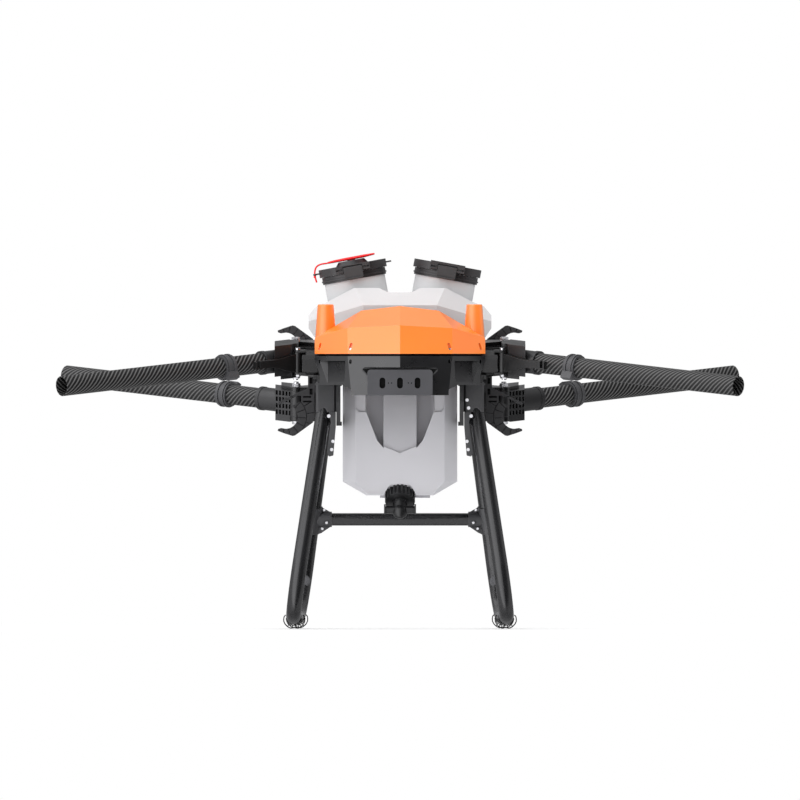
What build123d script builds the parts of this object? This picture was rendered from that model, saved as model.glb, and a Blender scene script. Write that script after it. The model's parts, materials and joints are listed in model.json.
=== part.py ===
from build123d import *
import math
import os

# Folding-arm spray drone airframe with a lift-out tank.
# Millimetres, +Z up, front of the craft towards -Y, origin on the ground under
# the middle of the craft. "Left" is -X, as seen by someone facing the craft.

# ---------------------------------------------------------------- dimensions
MID_Z = 495.6            # height of the middle plane between the two arm pairs
PLATE_T = 5.0            # carbon centre plate
PLATE_TOP = MID_Z + PLATE_T / 2
PLATE_BOT = MID_Z - PLATE_T / 2

ARM_R = 20.0             # arm tube outer radius
ARM_BORE = 18.1          # arm tube inner radius
ARM_START = 34.0         # arm tube start, along the tube from its foot
ARM_END = 595.8          # arm tube end, along the tube from its foot
ARM_TILT = 9.0           # tilt of the fold plane, degrees
PIVOT = (-208.0, -155.0, 543.1)
PIVOT_PIN_R = 5.0
FIT = 0.05               # radial running clearance
LATCH_AT = (4.0, -66.0)  # latch lever pivot in the fold plane
LATCH_PIN_R = 3.0

LEG_R = 15.0             # landing leg tube outer radius
LEG_BORE = 13.0
BAR_R = 12.5             # crossbar tube outer radius
BAR_Y = 164.0
BAR_Z = 217.7

TANK_WALL = 3.0
NECK_TILT = 10.3         # outward lean of the filler necks, degrees
NECK_AT = (90.6, 0.0, 698.2)
NECK_R = 61.0
COLLAR_R = 64.0
LID_R = 68.0

SKIN = 3.0               # hood wall

SIDES = (-1, 1)          # left, right (or lower, upper; front, rear)


# -------------------------------------------------------------------- helpers
def plane_through(a, b, c, outward):
    """Plane through three points, its normal turned towards outward."""
    a, b, c = Vector(*a), Vector(*b), Vector(*c)
    normal = (b - a).cross(c - a).normalized()
    if normal.dot(Vector(*outward)) < 0:
        normal = normal * -1
    return Plane(origin=a, z_dir=normal)


def y_on(plane, x, z):
    """Y of the point of a plane at a given x and z."""
    normal, origin = plane.z_dir, plane.origin
    return origin.Y - (normal.X * (x - origin.X) + normal.Z * (z - origin.Z)) / normal.Y


def mirrored(plane):
    """A plane mirrored left to right."""
    origin, normal = plane.origin, plane.z_dir
    return Plane(origin=(-origin.X, origin.Y, origin.Z), z_dir=(-normal.X, normal.Y, normal.Z))


def sided(side, points):
    """2D points with their x turned to the given side."""
    return [(side * x, y) for x, y in points]


def polar(radius, degrees, x=0.0, y=0.0):
    """2D point at a radius and angle from a centre."""
    angle = math.radians(degrees)
    return (x + radius * math.cos(angle), y + radius * math.sin(angle))


def to_right(part):
    """Copy of a part mirrored across the craft's middle."""
    return part.mirror(Plane.YZ)


def to_rear(part):
    """Copy of a front part turned half a turn about the lateral middle line."""
    return part.rotate(Axis((0, 0, MID_Z), (1, 0, 0)), 180)


def combined(*parts):
    """One part made of all the given parts."""
    with BuildPart() as whole:
        for part in parts:
            add(part)
    return whole.part


def corner_copies(part):
    """Copies of a front left part for the front right, rear left and rear right."""
    return to_right(part), to_rear(part), to_right(to_rear(part))


def save(part, name):
    part.label = name
    export_step(part, "parts/" + name + ".step")


def save_right(part, stem):
    """Save the right-hand twin of a left-hand part."""
    save(combined(to_right(part)), stem + "_right")


os.makedirs("parts", exist_ok=True)

# ------------------------------------------------------------ centre structure
# carbon centre plate with the tank opening
with BuildPart() as centre_plate:
    with BuildSketch(Plane.XY.offset(PLATE_BOT)):
        Rectangle(332, 470)
        chamfer(vertices(), 40)
        Rectangle(238, 248, mode=Mode.SUBTRACT)
        with Locations((0, 178), (0, -178)):
            SlotOverall(150, 46, mode=Mode.SUBTRACT)
        with GridLocations(284, 150, 2, 2):
            SlotOverall(34, 14, rotation=90, mode=Mode.SUBTRACT)
    extrude(amount=PLATE_T)
save(centre_plate.part, "centre_plate")

# deep side rails hung under the plate, guiding the tank
RAIL_X = 127.2           # outer face
RAIL_T = 8.0
RAIL_LOW = 405.6
RAIL_HALF = 118.0        # half length of the lower edge
FLANGE_T = 8.0           # height of the thicker top and bottom edges
with BuildPart() as side_rail_left:
    with BuildSketch(Plane.YZ.offset(-RAIL_X)):
        with BuildLine():
            Polyline((-148, PLATE_BOT), (148, PLATE_BOT), (148, 452), (RAIL_HALF, RAIL_LOW),
                     (-RAIL_HALF, RAIL_LOW), (-148, 452), close=True)
        make_face()
        with Locations((-84, 450), (-28, 450), (28, 450), (84, 450)):
            Rectangle(38, 46, mode=Mode.SUBTRACT)
    extrude(amount=RAIL_T)
    with BuildSketch(Plane.YZ.offset(-RAIL_X)):
        with Locations((0, RAIL_LOW + FLANGE_T / 2), (0, PLATE_BOT - FLANGE_T / 2)):
            Rectangle(2 * RAIL_HALF, FLANGE_T)
    extrude(amount=10.8)
save(side_rail_left.part, "side_rail_left")
save_right(side_rail_left.part, "side_rail")

# ------------------------------------------------------------------- arm joints
# The fold plane holds the arm axis and is square to the fold pivot, at its origin.
tilt = math.radians(ARM_TILT)
fold = Plane(origin=PIVOT, x_dir=(1, 0, 0), z_dir=(0, -math.sin(tilt), math.cos(tilt)))
FOOT = (13.2, -17.6)     # foot of the tube axis in the fold plane
ALONG = (-0.8, -0.6)     # arm direction in the fold plane
ASIDE = (-0.6, 0.8)      # across the arm, towards the pivot side


def fold_point(x, y, z=0.0):
    return fold.from_local_coords(Vector(x, y, z))


def fold_direction(x, y):
    return fold_point(x, y) - fold_point(0, 0)


def across_arm(distance):
    """Plane across the arm tube, at a distance along its axis from the foot."""
    origin = fold_point(FOOT[0] + ALONG[0] * distance, FOOT[1] + ALONG[1] * distance)
    return Plane(origin=origin, x_dir=fold.z_dir, z_dir=fold_direction(*ALONG))


def beside_arm(x, y, z=0.0):
    """Plane at a fold point: x along the arm, y up, normal towards the pivot side."""
    return Plane(origin=fold_point(x, y, z), x_dir=fold_direction(*ALONG),
                 z_dir=fold_direction(*ASIDE))


# Heights in the joint are measured along the pivot, from the fold plane.
BRACKET_LOW, BRACKET_TOP = -28.0, 22.0
EARS = ((24.0, 33.0), (BRACKET_LOW - 8, BRACKET_LOW))   # bottom and top of each hinge ear
LUG_IN, LUG_OUT = 20.4, 24.6        # latch lugs, the same above and below
KNUCKLE_LOW, KNUCKLE_TOP = -27.6, 23.6
THROUGH = 60.0                      # half length of cuts right through the joint
BRACKET_FOOT_T = 9.0
GUSSETS = ((176, 552), (206, 545))  # distance forward of the rear face, top height

# root bracket, fixed on the centre plate
with BuildPart() as root_bracket:
    with BuildSketch(fold.offset(BRACKET_LOW)):
        with BuildLine():
            Polyline((7, -70), (14, -75), (44, -75), (44, 10), (12, 10), (7, 4), close=True)
        make_face()
    extrude(amount=BRACKET_TOP - BRACKET_LOW)
    # its front is rounded over, top and bottom
    with BuildSketch(Plane(origin=fold_point(0, 0), x_dir=fold_direction(0, 1), z_dir=(1, 0, 0))):
        with BuildLine():
            Polyline((20, BRACKET_LOW), (-58, BRACKET_LOW), (-67, -25.6), (-72.4, -20),
                     (-75, -12), (-75, 7), (-72.4, 15), (-67, 20), (-58, BRACKET_TOP),
                     (20, BRACKET_TOP), close=True)
        make_face()
    extrude(amount=60, mode=Mode.INTERSECT)
    # hinge ears
    for bottom, top in EARS:
        with BuildSketch(fold.offset(bottom)):
            Circle(12)
            with BuildLine():
                Polyline((0, -9), (40, -30), (40, 9), (0, 9), close=True)
            make_face()
        extrude(amount=top - bottom)
    # slab joining the body to the upper ear
    with BuildSketch(fold.offset(20)):
        with BuildLine():
            Polyline((9, -40), (40, -40), (40, 9), (13.4, 9), (13.4, -9), (9, -14), close=True)
        make_face()
    extrude(amount=5)
    # latch lugs
    for bottom in (LUG_IN, -LUG_OUT):
        with BuildSketch(fold.offset(bottom)):
            with Locations(LATCH_AT):
                Circle(7.5)
            with BuildLine():
                Polyline((4, -73.5), (20, -73.5), (20, -58.5), (4, -58.5), close=True)
            make_face()
        extrude(amount=LUG_OUT - LUG_IN)
    # foot on the centre plate, with two gussets
    with BuildSketch(Plane.XY.offset(PLATE_TOP)):
        with Locations((-148, -191)):
            Rectangle(34, 74)
        with Locations((-166, -191)):
            Rectangle(12, 60)
    extrude(amount=BRACKET_FOOT_T)
    for forward, top in GUSSETS:
        with BuildSketch(Plane.XZ.offset(forward)):
            with BuildLine():
                Polyline((-170, PLATE_TOP), (-136, PLATE_TOP + 5),
                         (-136, PLATE_TOP + BRACKET_FOOT_T), (-164.4, top), (-170, top),
                         close=True)
            make_face()
        extrude(amount=8)
    # room for the arm knuckle, the latch boss and its swing
    with BuildSketch(fold.offset(BRACKET_LOW)):
        Circle(13)
    extrude(amount=52, mode=Mode.SUBTRACT)
    with BuildSketch(fold.offset(-LUG_IN)):
        with Locations(LATCH_AT):
            Circle(11.5)
    extrude(amount=2 * LUG_IN, mode=Mode.SUBTRACT)
    for side in SIDES:
        with BuildSketch(fold.offset(side * LUG_OUT)):
            with Locations(LATCH_AT):
                Circle(8)
        extrude(amount=side * 12, mode=Mode.SUBTRACT)
    # nothing of the bracket sinks into the plate
    with BuildSketch(Plane.XY.offset(PLATE_TOP)):
        with Locations((-148, -190)):
            Rectangle(40, 120)
    extrude(amount=-20, mode=Mode.SUBTRACT)
    # pin holes
    with BuildSketch(fold.offset(-THROUGH)):
        Circle(PIVOT_PIN_R + FIT)
        with Locations(LATCH_AT):
            Circle(LATCH_PIN_R + FIT)
    extrude(amount=2 * THROUGH, mode=Mode.SUBTRACT)

# arm side of the joint: block, knuckle, sleeve and pocketed face
SLEEVE_START = 50.0      # along the tube from its foot
SLEEVE_END = 104.0
BEAD_LENGTH = 8.0
EAR_RELIEF_R = 13.2
pocket_mid = (FOOT[0] + ALONG[0] * 28.8 + ASIDE[0] * 27,
              FOOT[1] + ALONG[1] * 28.8 + ASIDE[1] * 27)
with BuildPart() as arm_yoke:
    with BuildSketch(fold.offset(-26)):
        with BuildLine():
            Polyline((5.5, -2), (5.5, -57), (-42, -92.6), (-42, -25.3), (-10, -1.3), close=True)
        make_face()
    extrude(amount=62)
    with BuildSketch(fold.offset(-33)):
        with BuildLine():
            Polyline((5.5, -14), (5.5, -57), (-30, -80), (-30, -40), (-12, -18), close=True)
        make_face()
    extrude(amount=10)
    with BuildSketch(fold.offset(KNUCKLE_LOW)):
        Circle(12)
    extrude(amount=KNUCKLE_TOP - KNUCKLE_LOW)
    # sleeve and its outer bead
    with BuildSketch(across_arm(SLEEVE_START)):
        Circle(23)
    extrude(amount=SLEEVE_END - SLEEVE_START)
    with BuildSketch(across_arm(SLEEVE_END - BEAD_LENGTH)):
        Circle(24)
    extrude(amount=BEAD_LENGTH)
    # relief round the fixed ears and round the latch boss
    with BuildSketch(fold.offset(KNUCKLE_TOP)):
        Circle(EAR_RELIEF_R)
        with BuildLine():
            Polyline((0, -14), (8, -14), (8, 4), (0, 4), close=True)
        make_face()
    extrude(amount=14, mode=Mode.SUBTRACT)
    with BuildSketch(fold.offset(KNUCKLE_LOW)):
        Circle(EAR_RELIEF_R)
    extrude(amount=-10, mode=Mode.SUBTRACT)
    with BuildSketch(fold.offset(-40)):
        with Locations(LATCH_AT):
            Circle(11)
    extrude(amount=90, mode=Mode.SUBTRACT)
    # nothing beyond the joint face
    with BuildSketch(fold.offset(-THROUGH)):
        with Locations((26, -50)):
            Rectangle(41, 75)
    extrude(amount=2 * THROUGH, mode=Mode.SUBTRACT)
    # tube socket
    with BuildSketch(across_arm(ARM_START)):
        Circle(ARM_R)
    extrude(amount=80, mode=Mode.SUBTRACT)
    # pocket grid on the pivot side
    with BuildSketch(beside_arm(*pocket_mid, -1.2).offset(1)):
        with GridLocations(8.2, 13.0, 5, 4):
            Rectangle(5.0, 9.2)
    extrude(amount=-6, mode=Mode.SUBTRACT)
    # pivot bore
    with BuildSketch(fold.offset(-THROUGH)):
        Circle(PIVOT_PIN_R + FIT)
    extrude(amount=2 * THROUGH, mode=Mode.SUBTRACT)

with BuildPart() as arm_tube:
    with BuildSketch(across_arm(ARM_START)):
        Circle(ARM_R)
        Circle(ARM_BORE, mode=Mode.SUBTRACT)
    extrude(amount=ARM_END - ARM_START)

# split ring clamp part-way along the tube, with two beads
with BuildPart() as ring_clamp:
    with BuildSketch(across_arm(179)):
        Circle(24.5)
        with Locations((-14, -23)):
            Rectangle(15, 13, rotation=30)
        Circle(ARM_R, mode=Mode.SUBTRACT)
    extrude(amount=25)
    for bead_start in (183, 196):
        with BuildSketch(across_arm(bead_start)):
            Circle(26.2)
            Circle(24, mode=Mode.SUBTRACT)
        extrude(amount=4)

# latch lever lying along the arm
BARREL_HALF = 19.8       # half height of the barrel on the latch pin
# outline from the side: distance along the arm, height
LEVER_OUTLINE = (
    (0, 17.4), (14, 16.0), (30, 13.2), (46, 10.8), (63, 10.0), (92, 10.6),
    (92, -4.2), (63, -5.2), (48, -8.8), (31, -14.4), (14, -18.8), (0, -BARREL_HALF),
)
lever_side = beside_arm(LATCH_AT[0] - ASIDE[0] * 4.4, LATCH_AT[1] - ASIDE[1] * 4.4)
with BuildPart() as latch_lever:
    with BuildSketch(fold.offset(-BARREL_HALF)):
        with Locations(LATCH_AT):
            Circle(8.5)
    extrude(amount=2 * BARREL_HALF)
    with BuildSketch(lever_side):
        with BuildLine():
            Polyline(*LEVER_OUTLINE, close=True)
        make_face()
    extrude(amount=8.6)
    # end of the lever: two cross walls joined by a thin web
    with BuildSketch(lever_side.offset(-2)):
        with Locations((94.5, 3.0)):
            Rectangle(6, 17)
        with Locations((106, 3.0)):
            Rectangle(3.4, 15)
        with Locations((100, -3.6)):
            Rectangle(15, 2.6)
    extrude(amount=10)
    with BuildSketch(fold.offset(-30)):
        with Locations(LATCH_AT):
            Circle(LATCH_PIN_R + FIT)
    extrude(amount=60, mode=Mode.SUBTRACT)

# pivot bolt: shank, washer, upper nut and lower hexagon
WASHER_LOW, WASHER_T = 33.2, 1.4
with BuildPart() as pivot_bolt:
    with BuildSketch(fold.offset(-46)):
        Circle(PIVOT_PIN_R)
    extrude(amount=84)
    with BuildSketch(fold.offset(WASHER_LOW)):
        Circle(9)
    extrude(amount=WASHER_T)
    with BuildSketch(fold.offset(WASHER_LOW + WASHER_T)):
        RegularPolygon(8.4, 6)
        Circle(3, mode=Mode.SUBTRACT)
    extrude(amount=5)
    with BuildSketch(fold.offset(-43)):
        RegularPolygon(8.4, 6)
    extrude(amount=6.8)

# latch bolt: shank, round upper head and lower hexagon
with BuildPart() as latch_bolt:
    with BuildSketch(fold.offset(-30)):
        with Locations(LATCH_AT):
            Circle(LATCH_PIN_R)
    extrude(amount=58)
    with BuildSketch(fold.offset(LUG_OUT + 0.2)):
        with Locations(LATCH_AT):
            Circle(5.6)
    extrude(amount=4)
    with BuildSketch(fold.offset(-29)):
        with Locations(LATCH_AT):
            RegularPolygon(5.8, 6)
    extrude(amount=4.2)

for name, bolt in (("pivot_bolts", pivot_bolt), ("latch_bolts", latch_bolt)):
    save(combined(bolt.part, *corner_copies(bolt.part)), name)

for stem, source in (("root_bracket", root_bracket), ("arm_yoke", arm_yoke),
                     ("arm_tube", arm_tube), ("ring_clamp", ring_clamp),
                     ("latch_lever", latch_lever)):
    save(source.part, stem + "_front_left")
    copies = corner_copies(source.part)
    for corner, copy in zip(("_front_right", "_rear_left", "_rear_right"), copies):
        save(combined(copy), stem + corner)

# ---------------------------------------------------------------------- arm rest
# two outward-opening cradles for the folded arms, one above the other
CRADLE_X, CRADLE_Z, CRADLE_R = -228.6, 423.8, 24.2   # lower cradle
REST_HALF = 13.0         # half thickness, front to back
GROOVE_DEPTH = 1.9
GROOVE_W = 1.4
GROOVE_R = 41.2          # inner radius of the groove round the cradle
GROOVE_END = 100         # where that groove ends, degrees either way
# spokes each side of the round groove: mid radius, length, angles
SPOKES = (
    (33, 18, (-98, -76, -52, -28, -4, 20, 44)),
    (51.6, 18.4, (-64, -40, -16, 8, 30)),
)


def rest_face(face, x, z):
    """Plane 0.1 outside the front (-1) or back (1) face, normal to the rear, y down."""
    return Plane(origin=(x, face * (REST_HALF + 0.1), z), x_dir=(1, 0, 0), z_dir=(0, 1, 0))


with BuildSketch(Plane.XZ.offset(-REST_HALF)) as lower_half:
    with BuildLine():
        Polyline((-184, MID_Z), (-184, 481), (-200, 474), (-222, 463), (-244, 452.2),
                 (-246, 449), (-243, 446.6))
        roof = Polyline((-243, 446.6), (-222, 457.4), (-203.5, 466.2), (-197.5, 465.4),
                        (-197.5, 454.4), polar(CRADLE_R, 62, CRADLE_X, CRADLE_Z))
        upper_arc = RadiusArc(roof @ 1, (CRADLE_X + CRADLE_R, CRADLE_Z), CRADLE_R)
        lower_arc = RadiusArc(upper_arc @ 1, polar(CRADLE_R, -92, CRADLE_X, CRADLE_Z), CRADLE_R)
        Polyline(lower_arc @ 1, (-238, 401), (-244, 399), (-244.6, 395.2), (-232, 390.4),
                 (-215, 385), (-210, 386), (-174, 412), (-171.4, 424), (-171.4, MID_Z),
                 (-184, MID_Z))
    make_face()

with BuildPart() as arm_rest_left:
    extrude(lower_half.sketch, amount=2 * REST_HALF)
    mirror(about=Plane.XY.offset(MID_Z))
    # foot that bolts on the centre plate
    with BuildSketch(Plane.XY.offset(PLATE_TOP)):
        with Locations((-162.5, 0)):
            Rectangle(25, 44)
    extrude(amount=6)
    with BuildSketch(Plane.XZ.offset(-REST_HALF)):
        with Locations((-169.4, MID_Z - 7)):
            Rectangle(6, 34)
    extrude(amount=2 * REST_HALF)
    # deep pockets in the middle of both faces
    for face in SIDES:
        with BuildSketch(rest_face(face, -177.7, MID_Z)):
            with Locations((0, 22), (0, -22), (0, 0)):
                Rectangle(6, 12)
        extrude(amount=-face * 8, mode=Mode.SUBTRACT)
    # brick-shaped relief on both faces: grooves round the cradle and across it
    for face in SIDES:
        for cradle_z, turn in ((CRADLE_Z, 1), (2 * MID_Z - CRADLE_Z, -1)):
            with BuildSketch(rest_face(face, CRADLE_X, cradle_z)):
                with BuildLine():
                    CenterArc((0, 0), GROOVE_R + GROOVE_W, -GROOVE_END, 2 * GROOVE_END)
                    CenterArc((0, 0), GROOVE_R, -GROOVE_END, 2 * GROOVE_END)
                    for angle in (-GROOVE_END, GROOVE_END):
                        Line(polar(GROOVE_R + GROOVE_W, angle), polar(GROOVE_R, angle))
                make_face()
                for radius, length, angles in SPOKES:
                    for angle in angles:
                        with PolarLocations(radius, 1, start_angle=-turn * angle):
                            Rectangle(length, GROOVE_W)
            extrude(amount=-face * GROOVE_DEPTH, mode=Mode.SUBTRACT)
            # slots in the web beside the cradle
            with BuildSketch(rest_face(face, -185.6, MID_Z)):
                with Locations((0, turn * 32.4), (0, turn * 41.6)):
                    Rectangle(16, 3.6)
            extrude(amount=-face * GROOVE_DEPTH * 3, mode=Mode.SUBTRACT)
save(arm_rest_left.part, "arm_rest_left")
save_right(arm_rest_left.part, "arm_rest")

# ------------------------------------------------------------------ landing gear
# corners of the left leg's centre line: front top, front low, rear low, rear top
LEG_POINTS = [(-147.3, -98, 470), (-216.2, -215, 23), (-201, 215, 23), (-143, 98, 470)]
SKID_Z = LEG_POINTS[1][2]
SOCKET_LOW = 433.0
SOCKET_Y = 100.0
SOCKET_LENGTH = 42.0


def leg_solid(radius):
    with BuildPart() as bent:
        with BuildLine() as path:
            FilletPolyline(*LEG_POINTS, radius=92)
        with BuildSketch(Plane(origin=LEG_POINTS[0], z_dir=path.line % 0)):
            Circle(radius)
        sweep()
    return bent.part


leg_outer = leg_solid(LEG_R)
leg_inner = leg_solid(LEG_BORE)
with BuildPart() as landing_leg_left:
    add(leg_outer)
    add(leg_inner, mode=Mode.SUBTRACT)
save(landing_leg_left.part, "landing_leg_left")
save_right(landing_leg_left.part, "landing_leg")

with BuildPart() as socket_pair:
    for end in SIDES:
        with BuildSketch(Plane.XY.offset(SOCKET_LOW)):
            with Locations((-147.6, end * SOCKET_Y)):
                Rectangle(40.4, SOCKET_LENGTH)
        extrude(amount=PLATE_BOT - SOCKET_LOW)
    chamfer(edges().filter_by(Axis.Z), 4)
    add(leg_outer, mode=Mode.SUBTRACT)
save(combined(socket_pair.part, to_right(socket_pair.part)), "leg_sockets")

# hanger straps beside the front sockets
STRAP_BACK = 122.5       # distance of the rear face forward of the middle
STRAP_T = 4.0
STRAP_OUTLINE = ((128, SOCKET_LOW), (128, RAIL_LOW), (133, 346), (142, 344), (146, 352),
                 (138, 412), (142, SOCKET_LOW))
with BuildPart() as hanger_straps:
    for side in SIDES:
        with BuildSketch(Plane.XZ.offset(STRAP_BACK)):
            with BuildLine():
                Polyline(*sided(side, STRAP_OUTLINE), close=True)
            make_face()
        extrude(amount=STRAP_T)
save(hanger_straps.part, "hanger_straps")

BAR_HALF = 152.0
with BuildPart() as crossbar_tube:
    with BuildSketch(Plane.YZ.offset(-BAR_HALF)):
        with Locations((BAR_Y, BAR_Z)):
            Circle(BAR_R)
            Circle(BAR_R - 1.5, mode=Mode.SUBTRACT)
    extrude(amount=2 * BAR_HALF)
save(crossbar_tube.part, "crossbar_tube")

# tees joining the crossbar to the rear of the legs
TEE_HALF = 27.0          # half length of the sleeve on the leg
TEE_WALL = 3.0
WEB_T = 10.0
BOSS_AT = (147.0, 211.0)  # x, z of the boss for the sleeve bolt
BOSS_HEIGHT = 11.5
web_front = BAR_Y - WEB_T / 2
rear_top, rear_low = Vector(*LEG_POINTS[3]), Vector(*LEG_POINTS[2])
leg_direction = (rear_low - rear_top).normalized()
tee_mid = rear_top + leg_direction * ((rear_top.Z - BAR_Z) / -leg_direction.Z)
with BuildPart() as crossbar_tee_left:
    with BuildSketch(Plane(origin=tee_mid - leg_direction * TEE_HALF, z_dir=leg_direction)):
        Circle(LEG_R + TEE_WALL)
    extrude(amount=2 * TEE_HALF)
    with BuildSketch(Plane.YZ.offset(-174)):
        with Locations((BAR_Y, BAR_Z)):
            Circle(BAR_R + TEE_WALL)
    extrude(amount=37.4)
    with BuildSketch(Plane.XZ.offset(-BAR_Y - WEB_T / 2)):
        with BuildLine():
            Polyline((-172, 246), (-158, 243), (-138, BAR_Z + 14), (-138, BAR_Z - 14),
                     (-158, 190), (-175, 186), close=True)
        make_face()
    extrude(amount=WEB_T)
    # flat boss for the sleeve bolt
    with BuildSketch(Plane.XZ.offset(-web_front)):
        with Locations((-BOSS_AT[0], BOSS_AT[1])):
            Circle(4.4)
    extrude(amount=BOSS_HEIGHT)
    add(leg_outer, mode=Mode.SUBTRACT)
    with BuildSketch(Plane.YZ.offset(-BAR_HALF)):
        with Locations((BAR_Y, BAR_Z)):
            Circle(BAR_R)
    extrude(amount=40, mode=Mode.SUBTRACT)
save(crossbar_tee_left.part, "crossbar_tee_left")
save_right(crossbar_tee_left.part, "crossbar_tee")

# rubber skid pads: two walls joined by webs, open cells along the skid
PAD_LENGTH = 28.0


def skid_x(y):
    """X of the left skid's centre line at a given y."""
    (front_x, front_y, _), (rear_x, rear_y, _) = LEG_POINTS[1:3]
    return front_x + (rear_x - front_x) * (y - front_y) / (rear_y - front_y)


with BuildPart() as pad_pair:
    for pad_front in (-88, 60):
        pad_x = skid_x(pad_front + PAD_LENGTH / 2)
        with BuildSketch(Plane.XZ.offset(-pad_front - PAD_LENGTH)):
            with Locations((pad_x, SKID_Z)):
                Circle(23.6)
                Circle(21.2, mode=Mode.SUBTRACT)
                Circle(17.4)
                for angle in (-150, -90, -30):
                    with PolarLocations(19.3, 1, start_angle=angle):
                        Rectangle(5.4, 1.6)
                Circle(15.9, mode=Mode.SUBTRACT)
            # open at the top, flat on the ground
            with Locations((pad_x, 38)):
                Rectangle(60, 34, mode=Mode.SUBTRACT)
            with Locations((pad_x, -10)):
                Rectangle(60, 20, mode=Mode.SUBTRACT)
        extrude(amount=PAD_LENGTH)
save(combined(pad_pair.part, to_right(pad_pair.part)), "skid_pads")

# ------------------------------------------------------------------------ hoods
# Each hood is a box cut back by facets; the facet points are on the right half.
HOOD_HALF = 170.0        # half width of both hoods
HOOD_FRONT = -400.0      # box front, beyond the facets
UPPER_REAR = -140.0
LOWER_REAR = -150.0
RIM_Z = 549.0            # lower edge of the upper hood
SEAM_Z = 544.4           # upper edge of the lower hood
HOOD_LOW = 466.6

# upper hood: rim at the bottom, brow where the front turns up, crown behind it
rim_mid, rim_corner, rim_side = (0, -345, RIM_Z), (104.4, -318, RIM_Z), (HOOD_HALF, -245, RIM_Z)
brow_mid = (0, -333, 605.6)
upper_front = plane_through(rim_mid, rim_corner, brow_mid, (0, -1, 0))
brow_corner = (104.4, y_on(upper_front, 104.4, 600.6), 600.6)
upper_side = plane_through(rim_corner, rim_side, brow_corner, (1, -1, 0))
brow_side = (159.2, y_on(upper_side, 159.2, 585.2), 585.2)
crown_mid = (0, -236, 644.4)
top_front = plane_through(brow_mid, brow_corner, crown_mid, (0, 0, 1))
crown_corner = (77.6, y_on(top_front, 77.6, 635), 635)
top_side = plane_through(brow_corner, brow_side, crown_corner, (0, 0, 1))
crown_side = (129.8, y_on(top_side, 129.8, 604.4), 604.4)
top_back = plane_through(crown_mid, crown_corner, (0, UPPER_REAR, 640.5), (0, 0, 1))
top_back_side = plane_through(crown_corner, crown_side, (129.8, UPPER_REAR, 601), (0, 0, 1))
upper_facets = [upper_front, upper_side, top_front, top_side, top_back, top_back_side]

# lower hood: one front and one side facet, sloping in towards the bottom
seam_mid, seam_corner, seam_side = ((0, -343.5, SEAM_Z), (104.4, -316.5, SEAM_Z),
                                    (HOOD_HALF, -243.5, SEAM_Z))
lower_front = plane_through(seam_mid, seam_corner, (0, -322, HOOD_LOW), (0, -1, 0))
lower_side = plane_through(seam_corner, seam_side,
                           (96.6, y_on(lower_front, 96.6, HOOD_LOW), HOOD_LOW), (1, -1, 0))
lower_facets = [lower_front, lower_side]


def faceted(half_width, rear, bottom, top, facets, inset):
    """Box cut back by facet planes on both sides."""
    with BuildPart() as block:
        with BuildSketch(Plane.XY.offset(bottom)):
            with Locations((0, (HOOD_FRONT + rear) / 2)):
                Rectangle(2 * half_width, rear - HOOD_FRONT)
        extrude(amount=top - bottom)
        for facet in facets:
            split(bisect_by=facet.offset(-inset), keep=Keep.BOTTOM)
            split(bisect_by=mirrored(facet).offset(-inset), keep=Keep.BOTTOM)
    return block.part


def on_facet(facet, x, z, side):
    """Plane lying on a facet at x and z, its y pointing up, on either side."""
    normal = (side * facet.z_dir.X, facet.z_dir.Y, facet.z_dir.Z)
    return Plane(origin=(side * x, y_on(facet, x, z), z),
                 x_dir=Vector(-normal[1], normal[0], 0).normalized(), z_dir=normal)


def facet_spots(stations, z):
    """Plane and side of each (facet, x) station at height z, left then right."""
    return [(on_facet(facet, x, z, side), side) for side in SIDES for facet, x in stations]


SCREW_SHIFT, SCREW_DROP = 1.3, -4.2   # screw centre within its pocket
screw_spots = facet_spots(((upper_front, 98.5), (upper_side, 160.0)), 563.5)
upper_outside = faceted(HOOD_HALF, UPPER_REAR, RIM_Z, 665, upper_facets, 0)
upper_inside = faceted(HOOD_HALF - SKIN, UPPER_REAR + 1, RIM_Z - 1, 665, upper_facets, SKIN)
with BuildPart() as front_hood_upper:
    add(upper_outside)
    # tapered round turret on each shoulder
    for side in SIDES:
        with BuildSketch(Plane.XY.offset(572)):
            with Locations((side * 148.2, -207)):
                Circle(21.6)
        with BuildSketch(Plane.XY.offset(647.8)):
            with Locations((side * 148.2, -207)):
                Circle(15.9)
        loft()
    fillet(edges().filter_by(GeomType.CIRCLE).group_by(Axis.Z)[-1], 2.5)
    add(upper_inside, mode=Mode.SUBTRACT)
    # room for the arm brackets at the sides
    for side in SIDES:
        with BuildSketch(Plane.XY.offset(540)):
            with Locations((side * 168, -188)):
                Rectangle(16, 102)
        extrude(amount=42, mode=Mode.SUBTRACT)
    # slanted screw pockets, each in a boss on the inner wall
    for spot, side in screw_spots:
        with BuildSketch(spot.offset(-1)):
            Rectangle(11, 21)
        extrude(amount=-8.5)
    for spot, side in screw_spots:
        with BuildSketch(spot.offset(1)):
            SlotOverall(15, 5.6, rotation=90 + side * 14)
        extrude(amount=-7, mode=Mode.SUBTRACT)
        with BuildSketch(spot.offset(-3)):
            with Locations((side * SCREW_SHIFT, SCREW_DROP)):
                Circle(1.6)
        extrude(amount=-10, mode=Mode.SUBTRACT)
save(front_hood_upper.part, "front_hood_upper")

dimple_spots = facet_spots(((lower_front, 98.5), (lower_side, 160.6)), 533.4)
lower_outside = faceted(HOOD_HALF, LOWER_REAR, HOOD_LOW, SEAM_Z, lower_facets, 0)
lower_inside = faceted(HOOD_HALF - SKIN, LOWER_REAR + 1, HOOD_LOW + SKIN, 546, lower_facets, SKIN)
shelf_inside = faceted(162, LOWER_REAR, 530, 560, lower_facets, 9)
lip_outside = faceted(164, LOWER_REAR, 541, 550.4, lower_facets, 7)
shelf_outside = faceted(169, LOWER_REAR, 541, SEAM_Z, lower_facets, 1)
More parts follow.
